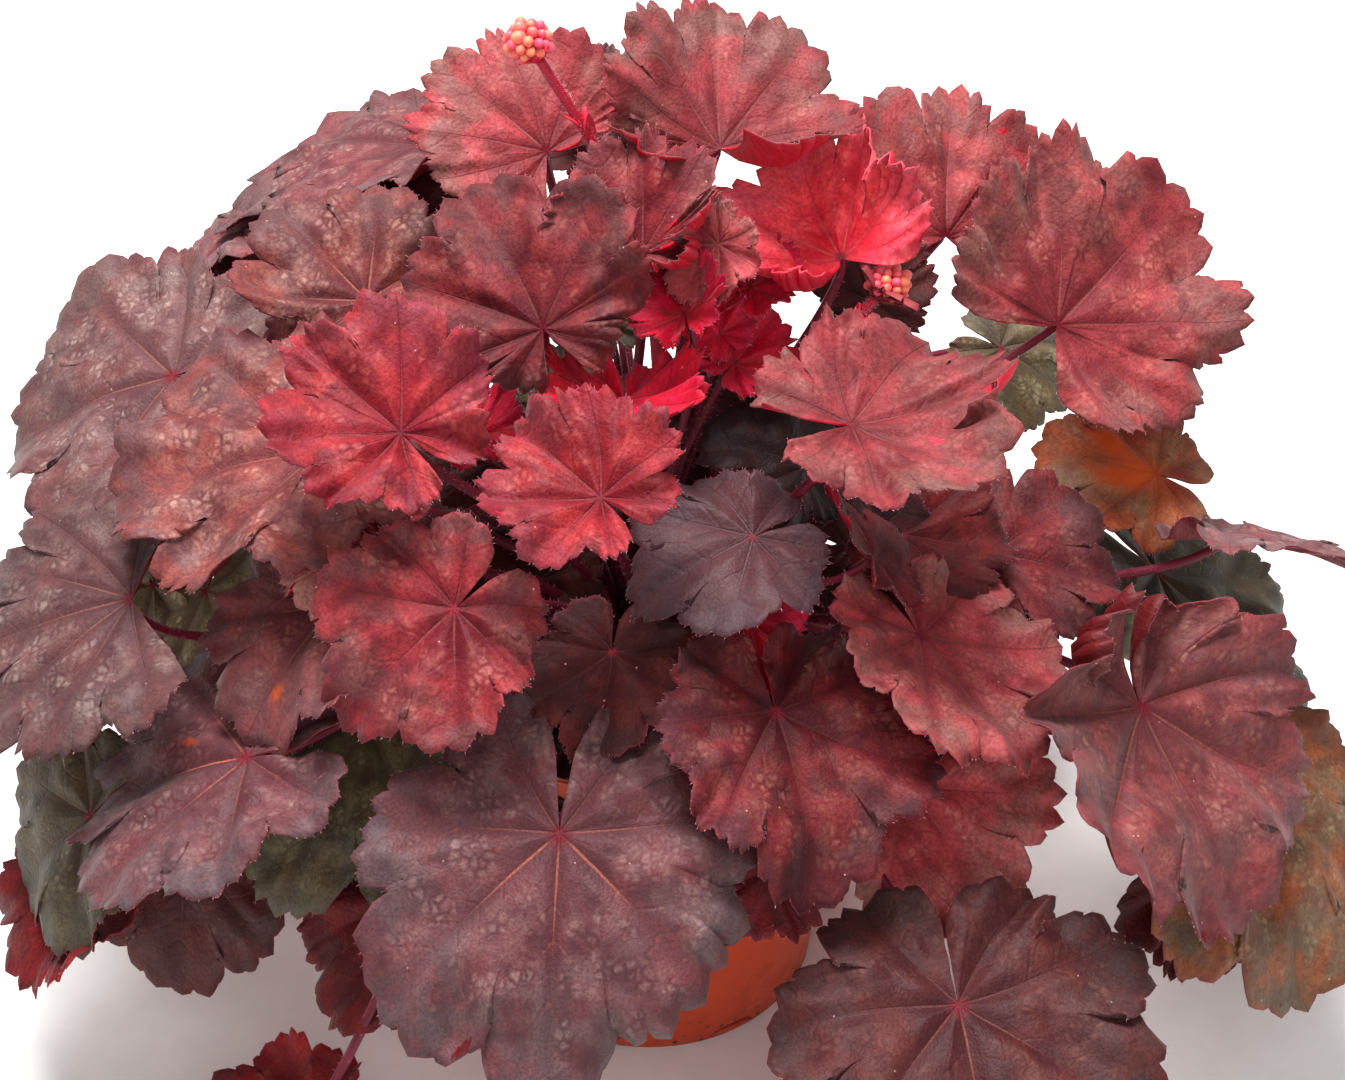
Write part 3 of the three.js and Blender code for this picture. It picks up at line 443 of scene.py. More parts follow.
    # Relief: tissue puckered by 1.4 mm between the veins, then cells, side veins and grain of 0.5 mm.
    relief = add(tree, "Math", {0: mask["cell"], 1: 0.07, 2: 0.0}, 0, **TIMES_PLUS)
    for key, height in (("grainy", 0.22), ("side", -0.3), ("rib", -0.4)):
        relief = add(tree, "Math", {0: mask[key], 1: height, 2: relief}, 0, **TIMES_PLUS)
    swell = add(tree, "Math", {0: noise["pucker"], 1: mask["aside"]}, 0, **TIMES)
    bump = add(tree, "Bump", {"Height": swell, "Distance": 0.0014, "Strength": 0.5}, 0)
    bump = add(tree, "Bump", {"Height": relief, "Distance": 0.0005, "Strength": 0.7, "Normal": bump}, 0)
    rough = add(tree, "MapRange", {0: noise["cloud"], 1: 0.3, 2: 0.7, 3: gloss - 0.05, 4: gloss + 0.1}, 0)
    wear(tree, shader, Base_Color=skin, Normal=bump, Roughness=rough)
    return made


def underside_skin(name, face, shade, rib_colour):
    """Lower skin of a heuchera leaf: matt, wine red, with paler raised veins."""
    made, tree, shader = finish(name, Roughness=0.6, Specular_IOR_Level=0.3)
    plan = add(tree, "Attribute", out="Vector", attribute_name="plan")
    marks = add(tree, "SeparateXYZ", {0: add(tree, "Attribute", out="Vector", attribute_name="marks")})
    cloud = add(tree, "TexNoise", {"Vector": plan, "Scale": 1 / 12, "Detail": 4}, 0)
    cells = add(tree, "TexVoronoi", {"Vector": plan, "Scale": 1 / 2.4}, "Distance", **FLAT_EDGES)
    net = add(tree, "MapRange", {0: cells, 1: 0.14, 2: 0.0, 3: 0.0, 4: 0.3}, 0)
    rib = add(tree, "MapRange", {0: marks.outputs[0], 1: 1.0, 2: 0.4, 4: 0.5}, 0, **SMOOTH)
    skin = colour(face)
    for share, over in ((cloud, shade), (net, rib_colour), (rib, rib_colour)):
        skin = add(tree, "Mix", {MIX_FACTOR: share, MIX_A: skin, MIX_B: colour(over)}, MIX_OUT, **BLEND)
    bump = add(tree, "Bump", {"Height": net, "Distance": 0.0004, "Strength": 0.6}, 0)
    wear(tree, shader, Base_Color=skin, Normal=bump)
    return made


def stalk_skin(name, dark, light):
    """Fleshy stalk under a thin waxy skin: crimson, streaked lengthwise every 0.8 mm."""
    made, tree, shader = finish(name, Roughness=0.45, Specular_IOR_Level=0.3)
    marks = add(tree, "SeparateXYZ", {0: add(tree, "Attribute", out="Vector", attribute_name="marks")})
    around, along, _ = marks.outputs
    slow = add(tree, "Math", {0: along, 1: 0.06}, 0, **TIMES)
    lengthwise = add(tree, "CombineXYZ", {0: around, 1: slow}, 0)
    streak = add(tree, "TexNoise", {"Vector": lengthwise, "Scale": 1 / 0.8, "Detail": 3}, 0)
    blotch = add(tree, "TexNoise", {"Vector": lengthwise, "Scale": 1 / 6, "Detail": 2}, 0)
    share = add(tree, "Math", {0: streak, 1: blotch}, 0, **TIMES)
    share = add(tree, "MapRange", {0: share, 1: 0.12, 2: 0.38}, 0)
    skin = add(tree, "Mix", {MIX_FACTOR: share, MIX_A: colour(dark), MIX_B: colour(light)}, MIX_OUT, **BLEND)
    bump = add(tree, "Bump", {"Height": streak, "Distance": 0.0003, "Strength": 0.6}, 0)
    wear(tree, shader, Base_Color=skin, Normal=bump)
    return made


def plain_finish(name, dark, light, grain, roughness, relief):
    """A finish of two tones in a grain of a given size in mm, on object coordinates."""
    made, tree, shader = finish(name, Roughness=roughness)
    place = add(tree, "TexCoord", out="Object")
    wires = {"Vector": place, "Scale": 1 / (grain * MM), "Detail": 5, "Roughness": 0.65}
    tone = add(tree, "TexNoise", wires, 0)
    share = add(tree, "MapRange", {0: tone, 1: 0.38, 2: 0.62}, 0)
    skin = add(tree, "Mix", {MIX_FACTOR: share, MIX_A: colour(dark), MIX_B: colour(light)}, MIX_OUT, **BLEND)
    bump = add(tree, "Bump", {"Height": tone, "Distance": relief * MM, "Strength": 0.7}, 0)
    wear(tree, shader, Base_Color=skin, Normal=bump)
    return made


def moulded_pot_plastic():
    """Injection-moulded polypropylene, terracotta orange: satin, faint swirls and a fine pebble
    grain, with soil dust on its lower wall and crumbs of soil round its foot."""
    made, tree, shader = finish("moulded_polypropylene_terracotta", IOR=1.49)
    place = add(tree, "TexCoord", out="Object")
    height = add(tree, "SeparateXYZ", {0: place}, 2)
    swirl = add(tree, "TexNoise", {"Vector": place, "Scale": 1 / 0.03, "Detail": 4, "Distortion": 0.6}, 0)
    dust = add(tree, "TexNoise", {"Vector": place, "Scale": 1 / 0.012, "Detail": 6, "Roughness": 0.7}, 0)
    low = add(tree, "MapRange", {0: height, 1: 0.045, 2: 0.0, 3: 0.3, 4: 0.62}, 0)
    dusty = add(tree, "Math", {0: dust, 1: low}, 0, operation="SUBTRACT")
    dusty = add(tree, "MapRange", {0: dusty, 1: 0.05, 2: -0.25, 3: 0.0, 4: 0.35}, 0)
    crumbs = add(tree, "TexVoronoi", {"Vector": place, "Scale": 1 / 0.0032}, "Distance")
    crumb = add(tree, "MapRange", {0: crumbs, 1: 0.3, 2: 0.22}, 0)
    foot = add(tree, "MapRange", {0: height, 1: 0.016, 2: 0.002}, 0)
    crumb = add(tree, "Math", {0: crumb, 1: foot}, 0, **TIMES)
    skin = colour("#b83010")
    for share, over in ((swirl, "#c84818"), (dusty, "#6a2818"), (crumb, "#2a1c16")):
        skin = add(tree, "Mix", {MIX_FACTOR: share, MIX_A: skin, MIX_B: colour(over)}, MIX_OUT, **BLEND)
    pebble = add(tree, "TexNoise", {"Vector": place, "Scale": 1 / 0.0009, "Detail": 2}, 0)
    relief = add(tree, "Math", {0: crumb, 1: 2.0, 2: pebble}, 0, **TIMES_PLUS)
    bump = add(tree, "Bump", {"Height": relief, "Distance": 0.0002, "Strength": 0.4}, 0)
    rough = add(tree, "MapRange", {0: dusty, 1: 0.0, 2: 0.5, 3: 0.36, 4: 0.8}, 0)
    wear(tree, shader, Base_Color=skin, Normal=bump, Roughness=rough)
    return made


def bud_skin():
    """Waxy bud scales: salmon pink, coral at the foot, straw orange at some tips."""
    made, tree, shader = finish("bud_scale_skin", Roughness=0.45, Specular_IOR_Level=0.35)
    marks = add(tree, "SeparateXYZ", {0: add(tree, "Attribute", out="Vector", attribute_name="marks")})
    ripeness, up, _ = marks.outputs
    pink, straw, coral = colour("#ec5870"), colour("#f49460"), colour("#d82848")
    tip = add(tree, "Mix", {MIX_FACTOR: ripeness, MIX_A: pink, MIX_B: straw}, MIX_OUT, **BLEND)
    skin = add(tree, "Mix", {MIX_FACTOR: up, MIX_A: coral, MIX_B: tip}, MIX_OUT, **BLEND)
    place = add(tree, "TexCoord", out="Object")
    grain = add(tree, "TexNoise", {"Vector": place, "Scale": 1 / 0.0006, "Detail": 3}, 0)
    bump = add(tree, "Bump", {"Height": grain, "Distance": 0.0002, "Strength": 0.5}, 0)
    wear(tree, shader, Base_Color=skin, Normal=bump)
    return made


# The colours are face, flush, a warmer colour that is partly the tissue's own and partly painted
# light shining through the blade, bloom, mottle and vein. Then come the strength of the mottles
# and of the veins, the roughness, and the shine.
SKINS = {tint: leaf_skin(f"{kind}_cuticle_{tint}", *looks) for kind, tint, *looks in (
    ("young_leaf", "coral", "#bc1428 #d43044 #ec5058 #bc4c5c #f8a098 #e8807c", 0.2, 0.3, 0.55, 0.2),
    ("young_leaf", "crimson", "#6c0814 #841224 #ac2c30 #803440 #e07c70 #cc5c60", 0.3, 0.15, 0.55, 0.2),
    ("young_leaf", "scarlet", "#b00020 #c80434 #dc0828 #b81840 #e03c58 #d05868", 0.2, 0.2, 0.5, 0.25),
    ("leaf", "rose", "#742026 #8c3238 #b44048 #825650 #dc9a90 #cc7468", 0.25, 0.25, 0.56, 0.2),
    ("leaf", "garnet", "#64161e #78242a #9c363a #704240 #d08c7c #c46c60", 0.3, 0.25, 0.56, 0.2),
    ("leaf", "wine", "#520a16 #661820 #90282e #603436 #c07c70 #b05850", 0.3, 0.25, 0.58, 0.2),
    ("leaf", "claret", "#420810 #54141a #802228 #52282e #b07464 #a05048", 0.3, 0.25, 0.58, 0.2),
    ("leaf", "dusty_rose", "#5c282e #6e343a #8c4044 #684e4e #c09c94 #a86c60", 0.4, 0.4, 0.55, 0.25),
    ("old_leaf", "mauve", "#54282e #603238 #74383c #5c484c #b08c86 #c86c58", 0.4, 0.7, 0.54, 0.25),
    ("old_leaf", "ash_mauve", "#563034 #623a3c #74403e #684e4c #bca49c #b87460", 0.5, 0.4, 0.54, 0.25),
    ("leaf", "brick_rose", "#5c2428 #6c3032 #904038 #624244 #d09c8c #c06a54", 0.5, 0.5, 0.55, 0.2),
    ("leaf", "blood_red", "#4a080c #581014 #7c1418 #501c1e #a05048 #903430", 0.2, 0.25, 0.58, 0.2),
    ("old_leaf", "slate", "#4e282e #583036 #603438 #543e46 #84686c #8c545c", 0.12, 0.2, 0.54, 0.25),
    ("leaf", "plum", "#5c2428 #6c2a30 #883638 #643e40 #b4806f #bc6848", 0.35, 0.5, 0.56, 0.25),
    ("leaf", "umber", "#421418 #501e20 #642824 #4a3030 #885850 #a8584c", 0.35, 0.5, 0.56, 0.25),
    # This very dark skin is partly the inner leaves' own colour and partly painted shade, as they lie deep in
    # the heart.
    ("leaf", "dark_wine_and_shade", "#300a0e #3a1212 #541a18 #341e20 #704038 #7c342c", 0.25, 0.2, 0.58, 0.2),
    ("old_leaf", "olive", "#3a2c22 #463a28 #58462e #444034 #8c8064 #805c44", 0.4, 0.4, 0.54, 0.25),
    ("old_leaf", "moss", "#4c4030 #5c5438 #70583c #58544a #b0a880 #907050", 0.6, 0.4, 0.54, 0.25),
    ("old_leaf", "bronze", "#6c3424 #6c5238 #9c4c20 #5c5040 #a89474 #c07048", 0.4, 0.6, 0.55, 0.25),
    ("old_leaf", "rust", "#84301c #84583c #b8501c #6c5844 #b89470 #d07848", 0.45, 0.5, 0.55, 0.25),
)}
# Undersides are a vivid wine red of their own, painted brighter to stand in for light shining through the
# blade. The one keyed shade is a darker copy: painted shade for undersides that lie in shadow.
UNDERSIDES = {
    "young": underside_skin("young_leaf_underside", "#d80c30", "#b00824", "#d83850"),
    "mature": underside_skin("leaf_underside", "#c40a28", "#94081c", "#c03448"),
    "old": underside_skin("old_leaf_underside", "#841420", "#5a0a18", "#984044"),
    "olive": underside_skin("olive_leaf_underside", "#782018", "#5a1014", "#8c5040"),
    "shade": underside_skin("leaf_underside_painted_shade", "#60040c", "#440408", "#701418"),
}
STALK = stalk_skin("leaf_stalk_skin", "#480818", "#801c34")
FLOWER_STALK = stalk_skin("flower_stalk_skin", "#90061c", "#bc2440")
# Hairs are 0.05 mm thick, and are drawn three times as thick so that they show.
DOWN = plain_finish("plant_hair", "#c8647c", "#e8b0b4", 3, 0.4, 0.02)
BUD = bud_skin()
# The flesh between the buds, soft and pink-red, with a grain of 0.8 mm.
BUD_CORE = plain_finish("bud_head_flesh", "#b81838", "#e04060", 0.8, 0.6, 0.1)
POT_PLASTIC = moulded_pot_plastic()
# Peat compost: matt dark fibre and crumbs from 0.5 to 3 mm.
PEAT = plain_finish("peat_compost", "#140d0a", "#3c2a20", 1.4, 0.95, 1.2)
# Grains of expanded volcanic glass: matt, off-white, pitted every 0.8 mm.
PERLITE = plain_finish("perlite_grain", "#b8b0a4", "#e8e4dc", 0.8, 0.9, 0.3)
# Cork-brown bark on the woody stock, with old papery leaf bases.
BARK = plain_finish("crown_bark", "#2c1814", "#5c3428", 2.2, 0.85, 1.0)
SCALE = plain_finish("dry_leaf_base", "#3c1c18", "#7c4438", 1.8, 0.75, 0.5)
# The studio floor: matt white paper board with a faint tooth.
FLOOR_BOARD = plain_finish("matt_paper_board", "#f0f0ee", "#f8f8f6", 40, 0.9, 0.05)

# ---- mesh tools ----------------------------------------------------------------------------


def clamp(value, low, high):
    return max(low, min(high, value))


def eased(t):
    """0 to 1 with soft ends."""
    t = np.clip(t, 0, 1)
    return t * t * (3 - 2 * t)


def unit(ways):
    return ways / np.linalg.norm(ways, axis=-1, keepdims=True)


def heading(azimuth, elevation):
    a, e = math.radians(azimuth), math.radians(elevation)
    return np.array([math.cos(e) * math.cos(a), math.cos(e) * math.sin(a), math.sin(e)])


def draw(seed, index):
    """A repeatable random number from 0 to 1, the same as in the part's source."""
    s = np.sin(seed * 127.1 + np.asarray(index, float) * 311.7) * 43758.5453
    return s - np.floor(s)


def waves(x, y, starts, count, shortest, spread, weighted=False):
    """Waves of many bearings and lengths, added up. Starts say where the draws of the bearings,
    lengths and phases begin. Weighted, a longer wave is higher too."""
    total = 0
    for k in range(count):
        bearing, length, phase = (draw(seed, first + k) for seed, first in starts)
        bearing = 2 * math.pi * bearing
        length = shortest + spread * length
        height = length / spread if weighted else 1
        total = total + height * np.sin((x * math.cos(bearing) + y * math.sin(bearing)) * 2 * math.pi / length
                                        + 6.3 * phase)
    return total


class Lump:
    """Points, faces and their finishes, gathered before they become one piece. Maps are what the
    skins read at each point; here is each one's first column and its width."""

    MAPS = {"plan": (0, 3), "marks": (3, 3), "reach": (6, 1), "scar": (7, 1), "rank": (8, 1), "tone": (9, 1)}
    COLUMNS = 10

    def __init__(self):
        self.points, self.faces, self.finish_of, self.maps, self.count = [], [], [], [], 0

    def take(self, points, faces, finish_index, **maps):
        """Finish_index is one number for all faces, or a list with one for each."""
        n = len(points)
        self.faces += [tuple(i + self.count for i in face) for face in faces]
        self.finish_of += finish_index if isinstance(finish_index, list) else [finish_index] * len(faces)
        self.points.append(np.asarray(points, float))
        rows = np.zeros((n, self.COLUMNS))
        for key, values in maps.items():
            first, width = self.MAPS[key]
            rows[:, first:first + width] = np.asarray(values, float).reshape(-1, width)
        self.maps.append(rows)
        self.count += n

    def piece(self, name, finishes, slot, *nodes, smooth=True):
        mesh = bpy.data.meshes.new(name)
        points = np.concatenate(self.points)
        maps = np.concatenate(self.maps)
        mesh.from_pydata((points * MM).tolist(), [], self.faces)
        for each in finishes:
            mesh.materials.append(each)
        mesh.polygons.foreach_set("material_index", self.finish_of)
        mesh.polygons.foreach_set("use_smooth", [smooth] * len(self.faces))
        for key, (first, width) in self.MAPS.items():
            kind, field = ("FLOAT_VECTOR", "vector") if width == 3 else ("FLOAT", "value")
            layer = mesh.attributes.new(key, kind, "POINT")
            layer.data.foreach_set(field, maps[:, first:first + width].ravel())
        mesh.update()
        made = bpy.data.objects.new(name, mesh)
        bpy.context.scene.collection.objects.link(made)
        if slot:
            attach(made, "root")
        if nodes:
            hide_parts(*nodes)
        return made


def band_faces(rings):
    """The faces between each ring of point numbers and the next. A ring may be a single point."""
    faces = []
    for first, second in zip(rings, rings[1:]):
        count = max(len(first), len(second))
        for k in range(count):
            after = (k + 1) % count
            corners = ((first, k), (first, after), (second, after), (second, k))
            faces.append(tuple(dict.fromkeys(ring[i % len(ring)] for ring, i in corners)))
    return faces


def numbered(count, size):
    """Rings of point numbers, each of a given size."""
    return [range(i * size, (i + 1) * size) for i in range(count)]


def tube(points, radii, sides):
    """A round tube along points, closed at both ends: its points, faces, and round and long maps."""
    points = np.asarray(points, float)
    ways = unit(np.gradient(points, axis=0))
    side = np.cross(ways[0], [0.31, 0.87, 0.12])
    skin, maps, run = [], [], 0.0
    for i, (point, way) in enumerate(zip(points, ways)):
        side = unit(side - way * side.dot(way))
        other = np.cross(way, side)
        if i:
            run += np.linalg.norm(point - points[i - 1])
        for a in (2 * math.pi * k / sides for k in range(sides)):
            skin.append(point + radii[i] * (math.cos(a) * side + math.sin(a) * other))
            maps.append((radii[i] * min(a, 2 * math.pi - a), run, 0))
    rings = numbered(len(points), sides)
    return np.array(skin), band_faces(rings) + [tuple(rings[0])[::-1], tuple(rings[-1])], np.array(maps)


def spikes(feet, ways, lengths, width):
    """Three-sided hairs, closed at the foot."""
    ways = unit(ways)
    side = unit(np.cross(ways, [0.37, 0.21, 0.9]))
    other = np.cross(ways, side)
    corners = [feet + width * (math.cos(a) * side + math.sin(a) * other) for a in (0, 2.1, 4.2)]
    tips = feet + ways * lengths[:, None]
    points = np.stack(corners + [tips], axis=1).reshape(-1, 3)
    faces = [(i + a, i + b, i + c) for i in range(0, len(points), 4)
             for a, b, c in ((0, 1, 3), (1, 2, 3), (2, 0, 3), (2, 1, 0))]
    return points, faces


# ---- the blade -----------------------------------------------------------------------------

# Where the teeth of a lobe meet, from notch to notch, on large and small blades.
TEETH = [-1, -0.86, -0.52, -0.18, 0.18, 0.52, 0.86, 1]
SMALL_TEETH = [-1, -0.64, -0.22, 0.22, 0.64, 1]
# One tooth: place across it, and how far it stands out. It is round, with a short point.
TOOTH = [(0.0, 0.0), (0.12, 0.55), (0.32, 0.9), (0.5, 1.28), (0.66, 0.9), (0.87, 0.52)]
TOOTH_MEAN = 0.7
TOOTH_SHIFT = 0.17
# A lobe bulges between its notches: place across it, and how much of the swell it has there.
SWELL_PLACES = [-1, -0.7, -0.35, 0, 0.35, 0.7, 1]
SWELL_SHARES = [0.1, 0.55, 0.7, 0.85, 0.7, 0.55, 0.1]
SWELL = 0.05
LOBE_STRETCH = 0.07
NOTCH_DEPTH = 0.2
NOTCH_SHARPNESS = 4.2
BASAL_ROUNDING = 0.4
# How bright a vein is, by how far its lobe lies from the middle one.
VEIN_RANKS = [1.0, 0.8, 0.5, 0.25]
# Rings of points from joint to edge. The lower side has about every second one.
LARGE_RINGS = 16
SMALL_RINGS = 11
# Where, in a leaf's own row of draws, the draws for each thing begin.
TOOTH_SHIFT_DRAWS, TOOTH_DEPTH_DRAWS, STRETCH_DRAWS = 100, 300, 400
LAP_DRAWS, BEND_DRAWS, RANK_DRAWS = 430, 450, 470
QUILT_DRAWS, RUFFLE_DRAWS, CREASE_DRAWS = (500, 520, 540), (560, 570, 580), (600, 610, 620)


def lobes_of(opens):
    """The lobes from one side of the notch to the other, as start, vein and end in degrees."""
    closing = (180 - opens) / LOBE_BORDERS[-1]
    borders, centres = LOBE_BORDERS * closing, LOBE_CENTRES * closing
    right = [(borders[i], centres[i + 1], borders[i + 1]) for i in range(3)]
    left = [(-to, -centre, -start) for start, centre, to in right][::-1]
    return left + [(-borders[0], 0, borders[0])] + right


def margin_of(leaf):
    """For each column round the blade: its angle, how far out its toothed edge stands, its lobe's
    vein, the half-angle of its lobe, its place across the lobe, which way it laps there, how its
    lobe bends, and how strong its vein is."""
    seed = leaf["seed"]
    small = leaf["size"] < SMALL_BLADE
    cuts = SMALL_TEETH if small else TEETH
    steps = 4 if small else 6
    columns = []
    lobes = lobes_of(leaf["opens"])
    last_lobe = len(lobes) - 1
    for k, (start, centre, stop) in enumerate(lobes):
        side = np.sign(centre) * (k in (0, last_lobe))
        ends = np.array(cuts, float)
        ends[1:-1] += (draw(seed, np.arange(len(cuts) - 2) + TOOTH_SHIFT_DRAWS + 20 * k) - 0.5) * TOOTH_SHIFT
        stretch = LOBE_STRETCH * (draw(seed, STRETCH_DRAWS + k) - 0.5)
        kinks = 1 + 0.5 * (draw(seed, np.arange(steps + 1) + steps * k) - 0.5)
        before, after = (1 if draw(seed, LAP_DRAWS + k + i) > 0.5 else -1 for i in (0, 1))
        bend = 2 * draw(seed, BEND_DRAWS + k) - 1
        rank = VEIN_RANKS[abs(k - 3)] * (0.6 + 0.4 * draw(seed, RANK_DRAWS + k))
        for j, (a, b) in enumerate(zip(ends[:-1], ends[1:])):
            depth = 0.6 + 0.8 * draw(seed, TOOTH_DEPTH_DRAWS + 20 * k + j)
            height = leaf["teeth"] * min(1, (b - a) * 3) * depth
            for t, tooth in TOOTH + ([(1.0, 0.0)] if b == ends[-1] else []):
                u = a + t * (b - a)
                jitter = np.interp(u, np.linspace(-1, 1, steps + 1), kinks)
                rounding = max(u * side, 0) ** 4 * BASAL_ROUNDING
                notch = NOTCH_DEPTH * jitter * abs(u) ** NOTCH_SHARPNESS - stretch * (1 - u * u)
                swell = SWELL * jitter * np.interp(u, SWELL_PLACES, SWELL_SHARES)
                out = 1 - max(notch, rounding) + swell + height * (tooth - TOOTH_MEAN)
                half = (centre - start) if u < 0 else (stop - centre)
                at_opening = (k == 0 and u < 0) or (k == last_lobe and u > 0)
                lap = 0 if at_opening else (-before if u < 0 else after) * max(0, abs(u) * 2 - 1) ** 2
                columns.append((centre + 0.994 * u * half, out, centre, half, u, lap, bend, rank))
    return np.array(columns).T


def blade_radius(size, angle):
    a, e = np.radians(angle), BLADE_LENGTHENING
    return size * (e * np.cos(a) + np.sqrt(1 - (e * np.sin(a)) ** 2))


def blade_height(leaf, x, y, angle, reach):
    """The form that the blade has in the part's source too."""
    size, seed = leaf["size"], leaf["seed"]
    cup, fold, droop, pleat, wave = leaf["habit"]
    turn = np.radians(angle)
    between = 0.5 - 0.5 * np.cos(turn * (360 / LOBE_PITCH))
    ripple = np.sin(turn * 5 + seed * 2.4) + 0.6 * np.sin(turn * 8 + seed)
    return size * (cup * reach ** 2 + fold * (np.abs(y) / size) ** 1.5
                   - droop * (np.maximum(x, 0) / size) ** 2
                   + pleat * between * reach + wave * ripple * reach ** 2)


def fine_height(leaf, x, y, angle, reach, beside):
    """What the living blade adds: gutters along the veins, sharper pleats, puffed tissue between
    the veins, long ruffles and a frilled edge."""
    seed, size = leaf["seed"], leaf["size"]
    turn = np.radians(angle)
    gutter = -0.6 * np.exp(-(beside / 1.5) ** 2) * (1.1 - reach)
    ridge = np.abs(np.sin(turn * 180 / LOBE_PITCH))
    uneven = 1 + 0.5 * np.sin(turn * 1.5 + seed * 3.7) + 0.5 * np.sin(turn * 2.5 + seed * 1.9)
    pleats = size * leaf["pleats"] * (ridge - 0.6) * uneven * reach
    quilt = waves(x, y, [(seed, first) for first in QUILT_DRAWS], 9, 10, 14, weighted=True)
    quilt = 0.28 * quilt * (1 - np.exp(-(beside / 3.5) ** 2)) * np.minimum(reach * 2, 1)
    ruffle = waves(x, y, [(seed, first) for first in RUFFLE_DRAWS], 4, 22, 26)
    ruffle = size * leaf["ruffle"] * ruffle * reach ** 1.6
    frill = np.sin(turn * 17 + seed * 1.7) + 0.7 * np.sin(turn * 26 + seed * 3.1) + np.sin(turn * 11 + seed)
    frill = size * leaf["frill"] * frill * np.clip(reach - 0.4, 0, 1) ** 1.5 * 2
    return gutter + pleats + quilt + ruffle + frill


def rolled(leaf, x, y, z, angles, inward):
    """Rolls the margin up or down where the leaf says."""
    tiny = 1e-6
    r = np.hypot(x, y)
    for middle, half, degrees, width in leaf["rolls"]:
        window = eased(1.25 - 1.25 * np.abs(angles - middle) / half)
        bend = np.radians(degrees) * window / width + tiny
        t = np.clip(width - inward, 0, None)
        r = r - t + np.sin(bend * t) / bend
        z = z + (1 - np.cos(bend * t)) / bend
    scale = r / np.maximum(np.hypot(x, y), tiny)
    return x * scale, y * scale, z


def blade_axes(leaf):
    azimuth, tilt = leaf["faces"]
    normal = heading(azimuth, 90 - tilt)
    along = heading(leaf["points"], 0)
    along = unit(along - normal * along.dot(normal))
    return along, np.cross(normal, along), normal


def blade_sheet(leaf, margin, shares):
    """The upper side as a grid of rings by columns, and grids of what its skin reads: flat x and
    y, mm beside and along its vein, mm in from the edge, reach, and rank of the vein."""
    size, seed = leaf["size"], leaf["seed"]
    angles, edge, veins, halves, across_lobe, laps, bends, ranks = margin
    turned, aside = np.radians(angles), np.radians(angles - veins)
    plain = blade_radius(size, angles)
    reach = np.outer(shares, edge)
    r = reach * plain
    beside = np.abs(r * np.sin(aside))
    inward = (1 - shares)[:, None] * (edge * plain)
    swerve = 0.1 * np.sin(turned * 2.1 + seed * 1.3) + 0.06 * np.sin(turned * 4.3 + seed * 2.9)
    bearing = turned + swerve * reach
    outer = eased((reach - 0.55) / 0.35)
    lapping = np.radians(across_lobe * np.abs(laps) * halves) * leaf["lap"] * outer
    x, y = r * np.cos(bearing + lapping), r * np.sin(bearing + lapping)
    z = blade_height(leaf, x, y, angles, reach) + fine_height(leaf, x, y, angles, reach, beside)
    z += laps * outer * leaf["lap"] * size * 0.16
    z += size * leaf["bend"] * bends * (1 - across_lobe ** 2) * np.clip(reach - 0.35, 0, 1) ** 1.6
    for ray, depth, spread in leaf["creases"]:
        off = bearing - math.radians(ray)
        away = np.where(np.cos(off) > 0, np.abs(r * np.sin(off)), 2 * size)
        z += size * depth * (np.exp(-away / (size * spread)) - 0.35) * reach
    sheet = np.stack(rolled(leaf, x, y, z, angles, inward), axis=-1)
    return sheet, (x, y, beside, r * np.cos(aside), inward, reach, ranks + 0 * r)


def blade_faces(rings, kept, shares, laps, low_first):
    """The faces with the upper skin and those with the lower one. Points are the joint and then
    the rings, on the upper side and from low_first on the lower side, which has the kept rings."""
    count = len(laps)
    last = len(kept) - 1

    def top(ring, k):
        return 1 + ring * count + k

    def low(i, k):
        return low_first + 1 + i * count + k

    up, down = [], []
    for k in range(count - 1):
        up.append((0, top(0, k), top(0, k + 1)))
        down.append((low_first, low(0, k + 1), low(0, k)))
        for i in range(rings - 1):
            up.append((top(i, k), top(i + 1, k), top(i + 1, k + 1), top(i, k + 1)))
        # Where a lobe laps its neighbour, the lower side has the upper skin near the edge, so
        # that no red sliver of it shows from above.
        lapped = max(abs(laps[k]), abs(laps[k + 1])) > 0.5
        for i in range(last):
            skin = up if lapped and shares[kept[i + 1]] > 0.75 else down
            skin.append((low(i, k + 1), low(i + 1, k + 1), low(i + 1, k), low(i, k)))
        up.append((top(rings - 1, k), low(last, k), low(last, k + 1), top(rings - 1, k + 1)))
    for k, flip in ((0, False), (count - 1, True)):
        before_top, before_low, start = 0, low_first, 0
        for i, ring in enumerate(kept):
            ladder = [before_top] + [top(j, k) for j in range(start, ring + 1)]
            wall = ladder + [low(i, k), before_low]
            down.append(tuple(wall if flip else wall[::-1]))
            before_top, before_low, start = ladder[-1], low(i, k), ring + 1
    return up, down


